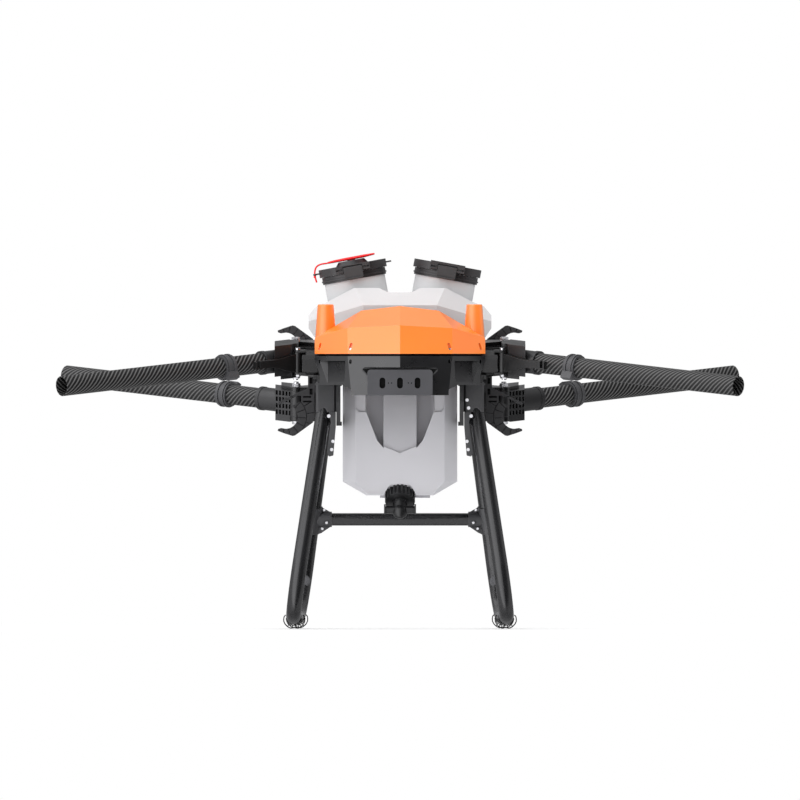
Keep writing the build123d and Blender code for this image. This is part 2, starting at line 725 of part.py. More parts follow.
# cuts and the stock left behind them; x is turned to each side
PANEL_STOCK = ((172, -249), (144, -249.5), (104, -290.5), (101, -340), (172, -340))
PANEL_CUT = ((162, -251.5), (144, -253), (110, -292), (106.5, -340), (175, -340))
UNDERCUT_STOCK = ((93.5, 460), (93.5, 481), (112, 490), (180, 490), (180, 460))
UNDERCUT = ((96.6, 460), (97.4, 478), (115, 487), (180, 487), (180, 460))

# hollow of the lower hood
with BuildPart() as lower_hollow:
    add(lower_inside)
    # material kept behind the sensor recess, the side panels and the undercuts
    with BuildSketch(Plane.XY.offset(460)):
        with Locations((0, -360)):
            Rectangle(166, 92)
    extrude(amount=70, mode=Mode.SUBTRACT)
    for side in SIDES:
        with BuildSketch(Plane.XY.offset(480)):
            with BuildLine():
                Polyline(*sided(side, PANEL_STOCK), close=True)
            make_face()
        extrude(amount=60, mode=Mode.SUBTRACT)
        with BuildSketch(Plane.XZ.offset(140)):
            with BuildLine():
                Polyline(*sided(side, UNDERCUT_STOCK), close=True)
            make_face()
        extrude(amount=270, mode=Mode.SUBTRACT)
with BuildPart() as hood_shelf:
    add(shelf_outside)
    add(lip_outside)
    add(shelf_inside, mode=Mode.SUBTRACT)
with BuildPart() as front_hood_lower:
    add(lower_outside)
    add(lower_hollow.part, mode=Mode.SUBTRACT)
    # inner shelf and lip that close the seam under the upper hood
    add(hood_shelf.part)
    for side in SIDES:
        # undercut below the sides
        with BuildSketch(Plane.XZ.offset(140)):
            with BuildLine():
                Polyline(*sided(side, UNDERCUT), close=True)
            make_face()
        extrude(amount=270, mode=Mode.SUBTRACT)
        # recessed side panel with its front-facing facet
        with BuildSketch(Plane.XY.offset(492)):
            with BuildLine():
                Polyline(*sided(side, PANEL_CUT), close=True)
            make_face()
        extrude(amount=43, mode=Mode.SUBTRACT)
    # room for the arm brackets at the sides
    for side in SIDES:
        with BuildSketch(Plane.XY.offset(490.5)):
            with Locations((side * 168, -195)):
                Rectangle(16, 92)
        extrude(amount=60, mode=Mode.SUBTRACT)
    # sensor recess
    with BuildSketch(Plane.XZ.offset(316)):
        with BuildLine():
            Polyline((-75.6, 522), (75.6, 522), (66.6, 460), (-66.6, 460), close=True)
        make_face()
        fillet(vertices().group_by(Axis.Y)[-1], 6)
    extrude(amount=60, mode=Mode.SUBTRACT)
    # blind oval dimples, each backed by a boss
    for spot, side in dimple_spots:
        with BuildSketch(spot.offset(-1)):
            Rectangle(8, 12)
        extrude(amount=-5.5)
    for spot, side in dimple_spots:
        with BuildSketch(spot.offset(1)):
            SlotOverall(9, 5, rotation=90 + side * 10)
        extrude(amount=-5, mode=Mode.SUBTRACT)
save(front_hood_lower.part, "front_hood_lower")

# flat sensor plate on four stand-offs
SENSOR_Z = 490.8
STANDOFF = 6.0
with BuildPart() as sensor_plate:
    with BuildSketch(Plane.XZ.offset(316 + STANDOFF)):
        with Locations((0, 492.1)):
            Rectangle(130, 51)
        fillet(vertices().group_by(Axis.Y)[-1], 7)
        fillet(vertices().group_by(Axis.Y)[0], 3)
        with Locations((-35, SENSOR_Z), (0, SENSOR_Z), (35, SENSOR_Z)):
            SlotOverall(21.7, 11.5, rotation=90, mode=Mode.SUBTRACT)
        with Locations((-23, SENSOR_Z), (-16.6, SENSOR_Z), (16.6, SENSOR_Z), (23, SENSOR_Z)):
            Circle(1.25, mode=Mode.SUBTRACT)
    extrude(amount=4)
    with BuildSketch(Plane.XZ.offset(316)):
        with Locations((-52, 508), (52, 508), (-52, 476), (52, 476)):
            Circle(4)
    extrude(amount=STANDOFF)
save(sensor_plate.part, "sensor_plate")

# screws at the bottom of the upper hood's pockets
with BuildPart() as hood_screws:
    for spot, side in screw_spots:
        seat = spot.from_local_coords(Vector(side * SCREW_SHIFT, SCREW_DROP, -5.9))
        screw = Plane(origin=seat, x_dir=spot.x_dir, z_dir=spot.z_dir)
        with BuildSketch(screw):
            Circle(2.5)
        extrude(amount=2.4)
        with BuildSketch(screw.offset(1.2)):
            RegularPolygon(1.3, 6)
        extrude(amount=2, mode=Mode.SUBTRACT)
save(hood_screws.part, "hood_screws")

# --------------------------------------------------------------- inner equipment
# power board on four stand-offs, with three blocks on it
BOARD_Y = -190.0
BOARD_LIFT = 8.0
BOARD_T = 2.0
with BuildPart() as power_board:
    with BuildSketch(Plane.XY.offset(PLATE_TOP + BOARD_LIFT)):
        with Locations((0, BOARD_Y)):
            Rectangle(120, 84)
        fillet(vertices(), 5)
    extrude(amount=BOARD_T)
    with BuildSketch(Plane.XY.offset(PLATE_TOP + BOARD_LIFT + BOARD_T)):
        with Locations((-40, BOARD_Y), (0, BOARD_Y - 15), (40, BOARD_Y)):
            Rectangle(22, 36)
    extrude(amount=12)
    with BuildSketch(Plane.XY.offset(PLATE_TOP)):
        with Locations((-54, -224), (54, -224), (-54, -156), (54, -156)):
            Circle(3.5)
    extrude(amount=BOARD_LIFT)
save(power_board.part, "power_board")

# battery tray, open at the top, with windows in its walls
TRAY_Y = 186.0
TRAY_WALL = 4.0
TRAY_WIDTH, TRAY_LENGTH = 188.0, 96.0
with BuildPart() as battery_tray:
    with BuildSketch(Plane.XY.offset(PLATE_TOP)):
        with Locations((0, TRAY_Y)):
            Rectangle(TRAY_WIDTH, TRAY_LENGTH)
        fillet(vertices(), 8)
    extrude(amount=64)
    with BuildSketch(Plane.XY.offset(PLATE_TOP + TRAY_WALL)):
        with Locations((0, TRAY_Y)):
            Rectangle(TRAY_WIDTH - 2 * TRAY_WALL, TRAY_LENGTH - 2 * TRAY_WALL)
        fillet(vertices(), 5)
    extrude(amount=80, mode=Mode.SUBTRACT)
    with BuildSketch(Plane.XZ.offset(-300)):
        with Locations((-60, 545), (60, 545)):
            Rectangle(36, 60)
        with Locations((0, 556)):
            Rectangle(60, 34)
    extrude(amount=200, mode=Mode.SUBTRACT)
    with BuildSketch(Plane.YZ.offset(-120)):
        with Locations((TRAY_Y, 532)):
            SlotOverall(52, 22)
    extrude(amount=240, mode=Mode.SUBTRACT)
save(battery_tray.part, "battery_tray")

# frame bolts: button heads on the plate, the sockets, the straps and the tees
PLATE_HEAD_R, PLATE_HEAD_T = 4.2, 3.2
# x, z, head radius
STRAP_BOLTS = ((142, 425.0, 3.6), (133.6, 374.5, 3.4), (136.2, 358, 3.4))
# x, z, y of the face under the head
TEE_BOLTS = ((152.0, 236.6, web_front), (*BOSS_AT, web_front - BOSS_HEIGHT),
             (155.6, 199.0, web_front))
with BuildPart() as frame_bolts:
    for side in SIDES:
        # level with the front of the hanger straps
        for x, z, radius in STRAP_BOLTS:
            with BuildSketch(Plane.XZ.offset(STRAP_BACK + STRAP_T)):
                with Locations((side * x, z)):
                    Circle(radius)
            extrude(amount=2.6)
        # on the front of the crossbar tees
        for x, z, y in TEE_BOLTS:
            with BuildSketch(Plane.XZ.offset(-y)):
                with Locations((side * x, z)):
                    Circle(2.6)
            extrude(amount=2.4)
        # root bracket feet, front above the plate and rear below it
        for y in (-220, -191, -162):
            with BuildSketch(Plane.XY.offset(PLATE_TOP + BRACKET_FOOT_T)):
                with Locations((side * 142, y)):
                    Circle(PLATE_HEAD_R)
            extrude(amount=PLATE_HEAD_T)
            with BuildSketch(Plane.XY.offset(PLATE_BOT - BRACKET_FOOT_T)):
                with Locations((side * 142, -y)):
                    Circle(PLATE_HEAD_R)
            extrude(amount=-PLATE_HEAD_T)
        if side > 0:
            # socket bolts, on the right only
            with BuildSketch(Plane.XZ.offset(SOCKET_Y + SOCKET_LENGTH / 2)):
                with Locations((134.0, 457.0), (137.0, 441.0)):
                    Circle(3.4)
            extrude(amount=2.2)
        # arm rest feet
        with BuildSketch(Plane.XY.offset(PLATE_TOP + 6)):
            with Locations((side * 160, -15), (side * 160, 15)):
                Circle(PLATE_HEAD_R)
        extrude(amount=PLATE_HEAD_T)
save(frame_bolts.part, "frame_bolts")

# ------------------------------------------------------------------------- tank
# right half of the front view, top middle to bottom middle: x, z
TANK_FRONT = [(0, 672), (19, 672), (26, 673.4), (42, 681), (91.6, 681), (145, 653), (168, 644),
              (182.6, 626), (182.6, 600), (118.5, 506), (0, 506)]
# side view: y, z
TANK_SIDE = [(-100, 500), (-115, 530), (-115, 646.4), (-77, 683), (77, 683), (115, 646.4),
             (115, 530), (100, 500)]
# plans of the upper body, the lower body and the foot: x, y
TANK_PLAN = [(-73.8, -115), (73.8, -115), (182.6, -66), (182.6, 66), (73.8, 115), (-73.8, 115),
             (-182.6, 66), (-182.6, -66)]
LOW_PLAN = [(-89, -100), (89, -100), (114.4, -74.6), (114.4, 74.6), (89, 100), (-89, 100),
            (-114.4, 74.6), (-114.4, -74.6)]
FOOT_PLAN = [(-64, -97), (64, -97), (67.4, -93), (67.4, 93), (64, 97), (-64, 97),
             (-67.4, 93), (-67.4, -93)]
LOW_BODY_Z = 294.0       # bottom of the straight lower body
TANK_BOTTOM = 266.6
OUTLET_SEAT_R = 34.0


def inset_polygon(points, inset):
    """Polygon in the current sketch, its sides moved inwards."""
    Polygon(*points, align=None)
    if inset:
        offset(amount=-inset, kind=Kind.INTERSECTION)


def tank_solid(inset):
    """Outer body at inset 0, cavity at the wall thickness."""
    front_view = TANK_FRONT + [(-x, z) for x, z in reversed(TANK_FRONT[1:-1])]
    shoulders = [plane_through((73.8, end * 115, 646.4), (91.6, end * 77.5, 681),
                               (160, end * 62, 640), (1, end, 1)) for end in (-1, 1)]
    with BuildPart() as body:
        with BuildSketch(Plane.XZ.offset(-130)):
            inset_polygon(front_view, inset)
        extrude(amount=260)
        with BuildSketch(Plane.YZ.offset(-200)):
            inset_polygon(TANK_SIDE, inset)
        extrude(amount=400, mode=Mode.INTERSECT)
        with BuildSketch(Plane.XY.offset(480)):
            inset_polygon(TANK_PLAN, inset)
        extrude(amount=240, mode=Mode.INTERSECT)
        for shoulder in shoulders:
            split(bisect_by=shoulder.offset(-inset), keep=Keep.BOTTOM)
            split(bisect_by=mirrored(shoulder).offset(-inset), keep=Keep.BOTTOM)
        with BuildSketch(Plane.XY.offset(LOW_BODY_Z)):
            inset_polygon(LOW_PLAN, inset)
        extrude(amount=222)
        with BuildSketch(Plane.XY.offset(LOW_BODY_Z)):
            inset_polygon(LOW_PLAN, inset)
        with BuildSketch(Plane.XY.offset(TANK_BOTTOM + inset)):
            Polygon(*FOOT_PLAN, align=None)
        loft()
    return body.part


# depths of the front recess
VALLEY_DEPTH = 32.0
STRIP_DEPTH = 5.0
COLUMN_DEPTH = 6.0


def recess(grow):
    """Front recess: two valleys, a middle column set back, two shallow strips.

    It is made larger and deeper by grow."""
    face = 100 - grow
    with BuildPart() as cut:
        for side in (-1, 1):
            valley = ((33 - grow, 540), (69 + grow, 540), (69 + grow, 437 - grow),
                      (46 + grow, 377 - grow), (33 - grow, 361 - grow))
            strip = ((60 - grow, 540), (88 + grow, 540), (88 + grow, 440 - grow),
                     (82 + grow, 433 - grow), (60 - grow, 433 - grow))
            for outline, depth in ((valley, VALLEY_DEPTH), (strip, STRIP_DEPTH)):
                with BuildSketch(Plane.XZ.offset(face - depth)):
                    with BuildLine():
                        Polyline(*sided(side, outline), close=True)
                    make_face()
                extrude(amount=60)
        with BuildSketch(Plane.XZ.offset(face - COLUMN_DEPTH)):
            with BuildLine():
                Polyline((-33 - grow, 540), (33 + grow, 540), (33 + grow, 364.6 - grow),
                         (0, 351 - grow), (-33 - grow, 364.6 - grow), close=True)
            make_face()
        extrude(amount=60)
    return cut.part


def neck_plane(side, height=0.0):
    """Plane across a filler neck: y to the rear, normal up along the neck."""
    lean = math.radians(NECK_TILT)
    plane = Plane(origin=(side * NECK_AT[0], NECK_AT[1], NECK_AT[2]),
                  x_dir=(math.cos(lean), 0, -side * math.sin(lean)),
                  z_dir=(side * math.sin(lean), 0, math.cos(lean)))
    return plane.offset(height)


# outlet on the lower front corner, facing forward and down
outlet_plane = Plane(origin=Vector(0, -79, 268), x_dir=(1, 0, 0),
                     z_dir=(0, -math.sqrt(0.5), -math.sqrt(0.5)))

with BuildPart() as tank_cavity:
    add(tank_solid(TANK_WALL))
    add(recess(TANK_WALL), mode=Mode.SUBTRACT)
    with BuildSketch(outlet_plane.offset(-TANK_WALL)):
        Circle(OUTLET_SEAT_R + TANK_WALL)
    extrude(amount=60, mode=Mode.SUBTRACT)
with BuildPart() as tank_shell:
    add(tank_solid(0))
    # pad under the bottom
    with BuildSketch(Plane.XY.offset(261.4)):
        with Locations((10, 0)):
            Rectangle(100, 110)
        fillet(vertices(), 10)
    extrude(amount=8)
    for side in SIDES:
        with BuildSketch(neck_plane(side, -60)):
            Circle(NECK_R)
        extrude(amount=74.8)
    with BuildSketch(outlet_plane.offset(-24)):
        Circle(26)
    extrude(amount=24)
    # seat for the outlet nut, cut into the lower front corner
    with BuildSketch(outlet_plane):
        Circle(OUTLET_SEAT_R)
    extrude(amount=60, mode=Mode.SUBTRACT)
    add(recess(0), mode=Mode.SUBTRACT)
    add(tank_cavity.part, mode=Mode.SUBTRACT)
    # neck and outlet bores
    for side in SIDES:
        with BuildSketch(neck_plane(side, -44)):
            Circle(NECK_R - 4)
        extrude(amount=80, mode=Mode.SUBTRACT)
    with BuildSketch(outlet_plane.offset(-40)):
        Circle(9)
    extrude(amount=60, mode=Mode.SUBTRACT)
save(tank_shell.part, "tank_shell")

# rubber strips between the tank shoulders and the plate
with BuildPart() as tank_rest_strips:
    for side in SIDES:
        with BuildSketch(Plane.XY.offset(PLATE_TOP)):
            with Locations((side * 122.0, 0)):
                Rectangle(5.6, 150)
        extrude(amount=7.8)
save(tank_rest_strips.part, "tank_rest_strips")

# -------------------------------------------------------------- filler openings
# Places are in the neck's frame: across (x), back (y), height along the neck.
HINGE_BACK, HINGE_HEIGHT = 76.0, 16.0
HINGE_R = 6.0
HINGE_PIN_R = 2.5
KNUCKLE_HALF = 15.0      # half width of the lid's hinge knuckle
TRUNNION_BACK, TRUNNION_HEIGHT = -69.6, 22.0
TRUNNION_R = 1.5
LID_LOW = 16.6
LID_T = 13.9
SIDE_PIN_LENGTH = 12.0


def axle_plane(side, across, back, height):
    """Plane square to the neck's x, for pins and bores running across the neck."""
    origin = neck_plane(side, height).from_local_coords(Vector(across, back, 0))
    return Plane(origin=origin, x_dir=(0, 1, 0), z_dir=neck_plane(side).x_dir)


def hinge_plane(side, across):
    return axle_plane(side, across, HINGE_BACK, HINGE_HEIGHT)


def trunnion_plane(side, across):
    return axle_plane(side, across, TRUNNION_BACK, TRUNNION_HEIGHT)


def filler_collar(side):
    with BuildPart() as collar:
        with BuildSketch(neck_plane(side)):
            Circle(COLLAR_R)
        extrude(amount=14)
        with BuildSketch(neck_plane(side, 4)):
            Circle(COLLAR_R + 1.6)
        extrude(amount=3)
        # hinge lugs at the back
        with BuildSketch(neck_plane(side, 2)):
            with Locations((-20, 68), (20, 68)):
                Rectangle(9, 22)
        extrude(amount=12)
        for across in (-24.5, 15.5):
            with BuildSketch(hinge_plane(side, across)):
                Circle(HINGE_R)
                with Locations((-2, -6)):
                    Rectangle(10, 10)
            extrude(amount=9)
        # keeper on the front for the latch
        with BuildSketch(neck_plane(side, 1)):
            with Locations((0, -64)):
                Rectangle(30, 5)
        extrude(amount=6)
        # neck and hinge pin bores
        with BuildSketch(neck_plane(side, -5)):
            Circle(NECK_R)
        extrude(amount=40, mode=Mode.SUBTRACT)
        with BuildSketch(hinge_plane(side, -60)):
            Circle(HINGE_PIN_R + FIT)
        extrude(amount=120, mode=Mode.SUBTRACT)
    return collar.part


def filler_lid(side):
    with BuildPart() as lid:
        with BuildSketch(neck_plane(side, LID_LOW)):
            Circle(LID_R)
        extrude(amount=LID_T)
        # skirt, then a dished top with a raised middle
        with BuildSketch(neck_plane(side, LID_LOW - 2)):
            Circle(LID_R)
            Circle(LID_R - 3, mode=Mode.SUBTRACT)
        extrude(amount=2.2)
        with BuildSketch(neck_plane(side, 27)):
            Circle(LID_R - 8)
        extrude(amount=8, mode=Mode.SUBTRACT)
        with BuildSketch(neck_plane(side, 26.5)):
            Circle(LID_R - 14)
        extrude(amount=3.4)
        # pad plate at the front, thicker on the right lid
        with BuildSketch(neck_plane(side, LID_LOW)):
            with Locations((0, -66)):
                Rectangle(70, 13)
        extrude(amount=16.5 if side > 0 else LID_T)
        # slots each side of the latch
        with BuildSketch(neck_plane(side, 20.6)):
            with Locations((-27, -71), (27, -71)):
                Rectangle(13, 6)
        extrude(amount=3.2, mode=Mode.SUBTRACT)
        # hinge knuckle at the back
        with BuildSketch(neck_plane(side, 18)):
            with Locations((0, 70)):
                Rectangle(2 * KNUCKLE_HALF, 14)
        extrude(amount=7)
        with BuildSketch(hinge_plane(side, -KNUCKLE_HALF)):
            Circle(HINGE_R)
        extrude(amount=2 * KNUCKLE_HALF)
        # room for the collar's hinge lugs
        for across in (-25.5, 15.1):
            with BuildSketch(hinge_plane(side, across)):
                Circle(HINGE_R + 0.8)
                with Locations((-4, -5)):
                    Rectangle(16, 12)
            extrude(amount=10.4, mode=Mode.SUBTRACT)
        # room for the latch at the front
        with BuildSketch(neck_plane(side, 14)):
            with Locations((0, -71.2)):
                Rectangle(40, 12.4)
        extrude(amount=14.4, mode=Mode.SUBTRACT)
        # hinge pin bore, and the trunnion bore through the pad plate
        with BuildSketch(hinge_plane(side, -60)):
            Circle(HINGE_PIN_R + FIT)
        extrude(amount=120, mode=Mode.SUBTRACT)
        with BuildSketch(trunnion_plane(side, -60)):
            Circle(TRUNNION_R + FIT)
        extrude(amount=120, mode=Mode.SUBTRACT)
        if side < 0:
            # vent bore and two side pins
            with BuildSketch(neck_plane(side, 10)):
                Circle(5)
            extrude(amount=40, mode=Mode.SUBTRACT)
            pin_root = LID_R - 1.5
            for across in (-pin_root - SIDE_PIN_LENGTH, pin_root):
                with BuildSketch(axle_plane(side, across, 0, 23.4)):
                    Circle(1.6)
                extrude(amount=SIDE_PIN_LENGTH)
    return lid.part


def lid_seal(side):
    with BuildPart() as seal:
        with BuildSketch(neck_plane(side, 14.9)):
            Circle(NECK_R)
            Circle(NECK_R - 5, mode=Mode.SUBTRACT)
        extrude(amount=1.6)
    return seal.part


def filter_basket(side):
    """Cup with a rim and a grid of square holes in its floor."""
    with BuildPart() as basket:
        with BuildSketch(neck_plane(side, -38)):
            Circle(NECK_R - 9)
        extrude(amount=49)
        with BuildSketch(neck_plane(side, 11)):
            Circle(NECK_R - 4.4)
        extrude(amount=2)
        with BuildSketch(neck_plane(side, -36)):
            Circle(NECK_R - 11)
        extrude(amount=60, mode=Mode.SUBTRACT)
        with BuildSketch(neck_plane(side, -45)):
            with GridLocations(14, 14, 5, 5):
                Rectangle(8, 8)
        extrude(amount=15, mode=Mode.SUBTRACT)
    return basket.part


def lid_latch(side):
    with BuildPart() as latch:
        with BuildSketch(neck_plane(side, 2.4)):
            with Locations((0, -71.4)):
                Rectangle(38, 5)
        extrude(amount=23.6)
        with BuildSketch(neck_plane(side, 1.0)):
            with Locations((0, -74.6)):
                Rectangle(34, 3.4)
        extrude(amount=3.4)
        # trunnion pin turning in the pad plate
        with BuildSketch(trunnion_plane(side, -30)):
            Circle(TRUNNION_R)
        extrude(amount=60)
    return latch.part


for side, tag in ((-1, "_left"), (1, "_right")):
    save(filler_collar(side), "filler_collar" + tag)
    save(filler_lid(side), "lid" + tag)
    save(lid_seal(side), "lid_seal" + tag)
    save(filter_basket(side), "filter_basket" + tag)
    save(lid_latch(side), "lid_latch" + tag)

with BuildPart() as lid_hinge_pins:
    for side in SIDES:
        with BuildSketch(hinge_plane(side, -26)):
            Circle(HINGE_PIN_R)
        extrude(amount=52)
save(lid_hinge_pins.part, "lid_hinge_pins")

# vent dome on the left lid
with BuildPart() as vent_dome:
    with BuildSketch(neck_plane(-1, 30)):
        Circle(33)
    with BuildSketch(neck_plane(-1, 39)):
        Circle(26)
    loft()
    with BuildSketch(neck_plane(-1, 20)):
        Circle(8.4)
    extrude(amount=40, mode=Mode.SUBTRACT)
save(vent_dome.part, "vent_dome")

# its red plug with a long flat pull tab
tab = neck_plane(-1, 39.8)
tab_side = Plane(origin=tab.origin, x_dir=tab.x_dir, z_dir=-tab.y_dir)
# cuts above and below the tab in side view: across the neck, height over the tab plane
ABOVE_TAB = ((-60, 4.0), (-60, 8), (60, 8), (60, 4.6), (47, 4.6), (20, 6.2), (-16, 6.0),
             (-49, 3.4))
BELOW_TAB = ((26, -0.5), (60, -0.5), (60, 2.8), (47, 2.8), (26, 0))
with BuildPart() as vent_plug:
    with BuildSketch(neck_plane(-1, 31)):
        Circle(8)
    extrude(amount=9.5)
    with BuildSketch(tab):
        with BuildLine():
            Polyline((-49, -9), (10, -13), (40, -11), (47, -4), (47, 4), (40, 11), (10, 13),
                     (-49, 9), close=True)
        make_face()
    extrude(amount=7)
    # side profile: thick over the dome, thin at the ends
    for cut_outline in (ABOVE_TAB, BELOW_TAB):
        with BuildSketch(tab_side):
            with BuildLine():
                Polyline(*cut_outline, close=True)
            make_face()
        extrude(amount=20, both=True, mode=Mode.SUBTRACT)
save(vent_plug.part, "vent_plug")

# red tether from the pull tab down over the lid edge, beside the side pin
TETHER_Y = -3.6
# x, z from the tab downwards
TETHER_PATH = ((-148.4, 730.0), (-156, 728.9), (-163, 726.8), (-169.4, 719.5),
               (-170.6, 709.4), (-168.6, 699), (-166.4, 691.6))
with BuildPart() as plug_tether:
    with BuildLine() as cord:
        Spline(*[(x, TETHER_Y, z) for x, z in TETHER_PATH])
    with BuildSketch(Plane(origin=cord.line @ 0, z_dir=cord.line % 0)):
        Circle(1.5)
    sweep()
save(plug_tether.part, "plug_tether")

# --------------------------------------------------------------------- outlet
# union nut with grip ribs
with BuildPart() as outlet_nut:
    with BuildSketch(outlet_plane.offset(0.2)):
        Circle(26.8)
        with PolarLocations(27.3, 22):
            Circle(2.75)
        Circle(14.5, mode=Mode.SUBTRACT)
    extrude(amount=21.6)
save(outlet_nut.part, "outlet_nut")

# stub and elbow down to a ball, with a bored barrel across the craft
BALL_R = 15.0
BARREL_Z = 238.0
BARREL_BORE = 5.0
BARREL_LENGTH_HALF = 29.0
FLANGE_DEPTH = 3.0       # thickness of the barrel's end flanges
elbow = outlet_plane.from_local_coords(Vector(0, 0, 21.8))
ball = Vector(0, -103, 234.4)
with BuildPart() as outlet_tee:
    with BuildSketch(outlet_plane.offset(0.2)):
        Circle(14.3)
    extrude(amount=26)
    with BuildSketch(Plane(origin=elbow, x_dir=(1, 0, 0), z_dir=(ball - elbow).normalized())):
        Circle(12.5)
    extrude(amount=(ball - elbow).length)
    with BuildSketch(Plane.YZ):
        with BuildLine():
            half_circle = RadiusArc((ball.Y - BALL_R, ball.Z), (ball.Y + BALL_R, ball.Z), BALL_R)
            Line(half_circle @ 1, half_circle @ 0)
        make_face()
    revolve(axis=Axis((0, ball.Y, ball.Z), (0, 1, 0)))
    with BuildSketch(Plane.YZ.offset(-BARREL_LENGTH_HALF)):
        with Locations((ball.Y, BARREL_Z)):
            Circle(7.4)
    extrude(amount=2 * BARREL_LENGTH_HALF)
    with BuildSketch(Plane.YZ.offset(-40)):
        with Locations((ball.Y, BARREL_Z)):
            Circle(BARREL_BORE)
    extrude(amount=80, mode=Mode.SUBTRACT)
    # nearly square end flanges of the barrel
    for flange_x in (-BARREL_LENGTH_HALF - FLANGE_DEPTH, BARREL_LENGTH_HALF):
        with BuildSketch(Plane.YZ.offset(flange_x)):
            with Locations((ball.Y, 238.5)):
                Rectangle(20, 21)
            fillet(vertices(), 2)
            with Locations((ball.Y, BARREL_Z)):
                Circle(BARREL_BORE, mode=Mode.SUBTRACT)
        extrude(amount=FLANGE_DEPTH)
save(outlet_tee.part, "outlet_tee")
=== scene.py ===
"""Looks and studio for a four-armed frame with a tank, front hoods and skid legs.

The frame stands on z = 0, with its front towards -Y (the camera side), +X to the right
and +Z up. Scene and shader lengths are metres; the detail tables are millimetres, as noted.
"""
import bpy, bmesh, math, json
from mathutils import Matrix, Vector
from mathutils.bvhtree import BVHTree

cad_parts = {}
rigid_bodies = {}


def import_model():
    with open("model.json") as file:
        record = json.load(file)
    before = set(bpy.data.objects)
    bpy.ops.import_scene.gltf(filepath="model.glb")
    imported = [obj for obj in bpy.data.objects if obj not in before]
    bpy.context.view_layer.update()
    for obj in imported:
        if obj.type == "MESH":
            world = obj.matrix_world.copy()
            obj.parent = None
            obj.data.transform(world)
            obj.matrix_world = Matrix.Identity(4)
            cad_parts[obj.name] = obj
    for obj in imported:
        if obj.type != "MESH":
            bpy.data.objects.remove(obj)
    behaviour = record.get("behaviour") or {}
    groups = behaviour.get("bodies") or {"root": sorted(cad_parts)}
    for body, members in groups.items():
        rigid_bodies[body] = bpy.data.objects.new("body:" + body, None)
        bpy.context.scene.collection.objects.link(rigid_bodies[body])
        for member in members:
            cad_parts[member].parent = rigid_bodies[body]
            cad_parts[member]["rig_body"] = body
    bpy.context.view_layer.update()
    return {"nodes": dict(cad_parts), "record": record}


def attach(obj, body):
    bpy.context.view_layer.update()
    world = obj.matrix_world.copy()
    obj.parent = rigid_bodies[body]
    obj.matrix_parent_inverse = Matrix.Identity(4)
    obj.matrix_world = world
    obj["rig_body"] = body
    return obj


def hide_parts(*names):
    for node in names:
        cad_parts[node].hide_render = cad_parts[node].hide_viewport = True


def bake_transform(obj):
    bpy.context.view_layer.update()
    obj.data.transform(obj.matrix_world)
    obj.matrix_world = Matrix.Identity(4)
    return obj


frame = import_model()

NODES = frame["nodes"]
RECORD = frame["record"]
MOUNTS = {mount["name"]: mount for mount in RECORD["mounts"]}
CORNERS = ("front_left", "front_right", "rear_left", "rear_right")
MM = 0.001
scene = bpy.context.scene


# ---------------------------------------------------------------- shader graphs
def rgba(color):
    """A colour with its alpha; sockets and four-part colours pass through."""
    if isinstance(color, bpy.types.NodeSocket) or len(color) == 4:
        return color
    return (*color, 1.0)


class Graph:
    """Short calls that add nodes to the tree of a material or world."""

    def __init__(self, owner):
        owner.use_nodes = True
        self.tree = owner.node_tree
        self.tree.nodes.clear()

    def add(self, kind, **settings):
        node = self.tree.nodes.new(kind)
        for key, value in settings.items():
            setattr(node, key, value)
        return node

    def put(self, socket, value):
        """Link a socket, or set a plain value."""
        if isinstance(value, bpy.types.NodeSocket):
            self.tree.links.new(value, socket)
        else:
            socket.default_value = value

    def math(self, operation, first, second=0.0):
        node = self.add("ShaderNodeMath", operation=operation)
        self.put(node.inputs[0], first)
        self.put(node.inputs[1], second)
        return node.outputs[0]

    def xyz(self, vector):
        node = self.add("ShaderNodeSeparateXYZ")
        self.put(node.inputs[0], vector)
        return node.outputs

    def remap(self, value, source, target=(0.0, 1.0)):
        """Clamped linear map of the source range onto the target range."""
        node = self.add("ShaderNodeMapRange")
        self.put(node.inputs[0], value)
        for i, limit in enumerate((*source, *target)):
            node.inputs[i + 1].default_value = limit
        return node.outputs[0]

    def ramp(self, factor, stops):
        """Colour ramp from (position, colour) stops."""
        node = self.add("ShaderNodeValToRGB")
        self.put(node.inputs[0], factor)
        elements = node.color_ramp.elements
        while len(elements) < len(stops):
            elements.new(1.0)
        for element, (position, color) in zip(elements, stops):
            element.position = position
            element.color = rgba(color)
        return node.outputs[0]

    def mix(self, factor, first, second):
        node = self.add("ShaderNodeMix", data_type="RGBA")
        self.put(node.inputs[0], factor)
        self.put(node.inputs[6], rgba(first))
        self.put(node.inputs[7], rgba(second))
        return node.outputs[2]

    def mix_shader(self, factor, first, second):
        node = self.add("ShaderNodeMixShader")
        for socket, source in zip(node.inputs, (factor, first, second)):
            self.put(socket, source)
        return node.outputs[0]


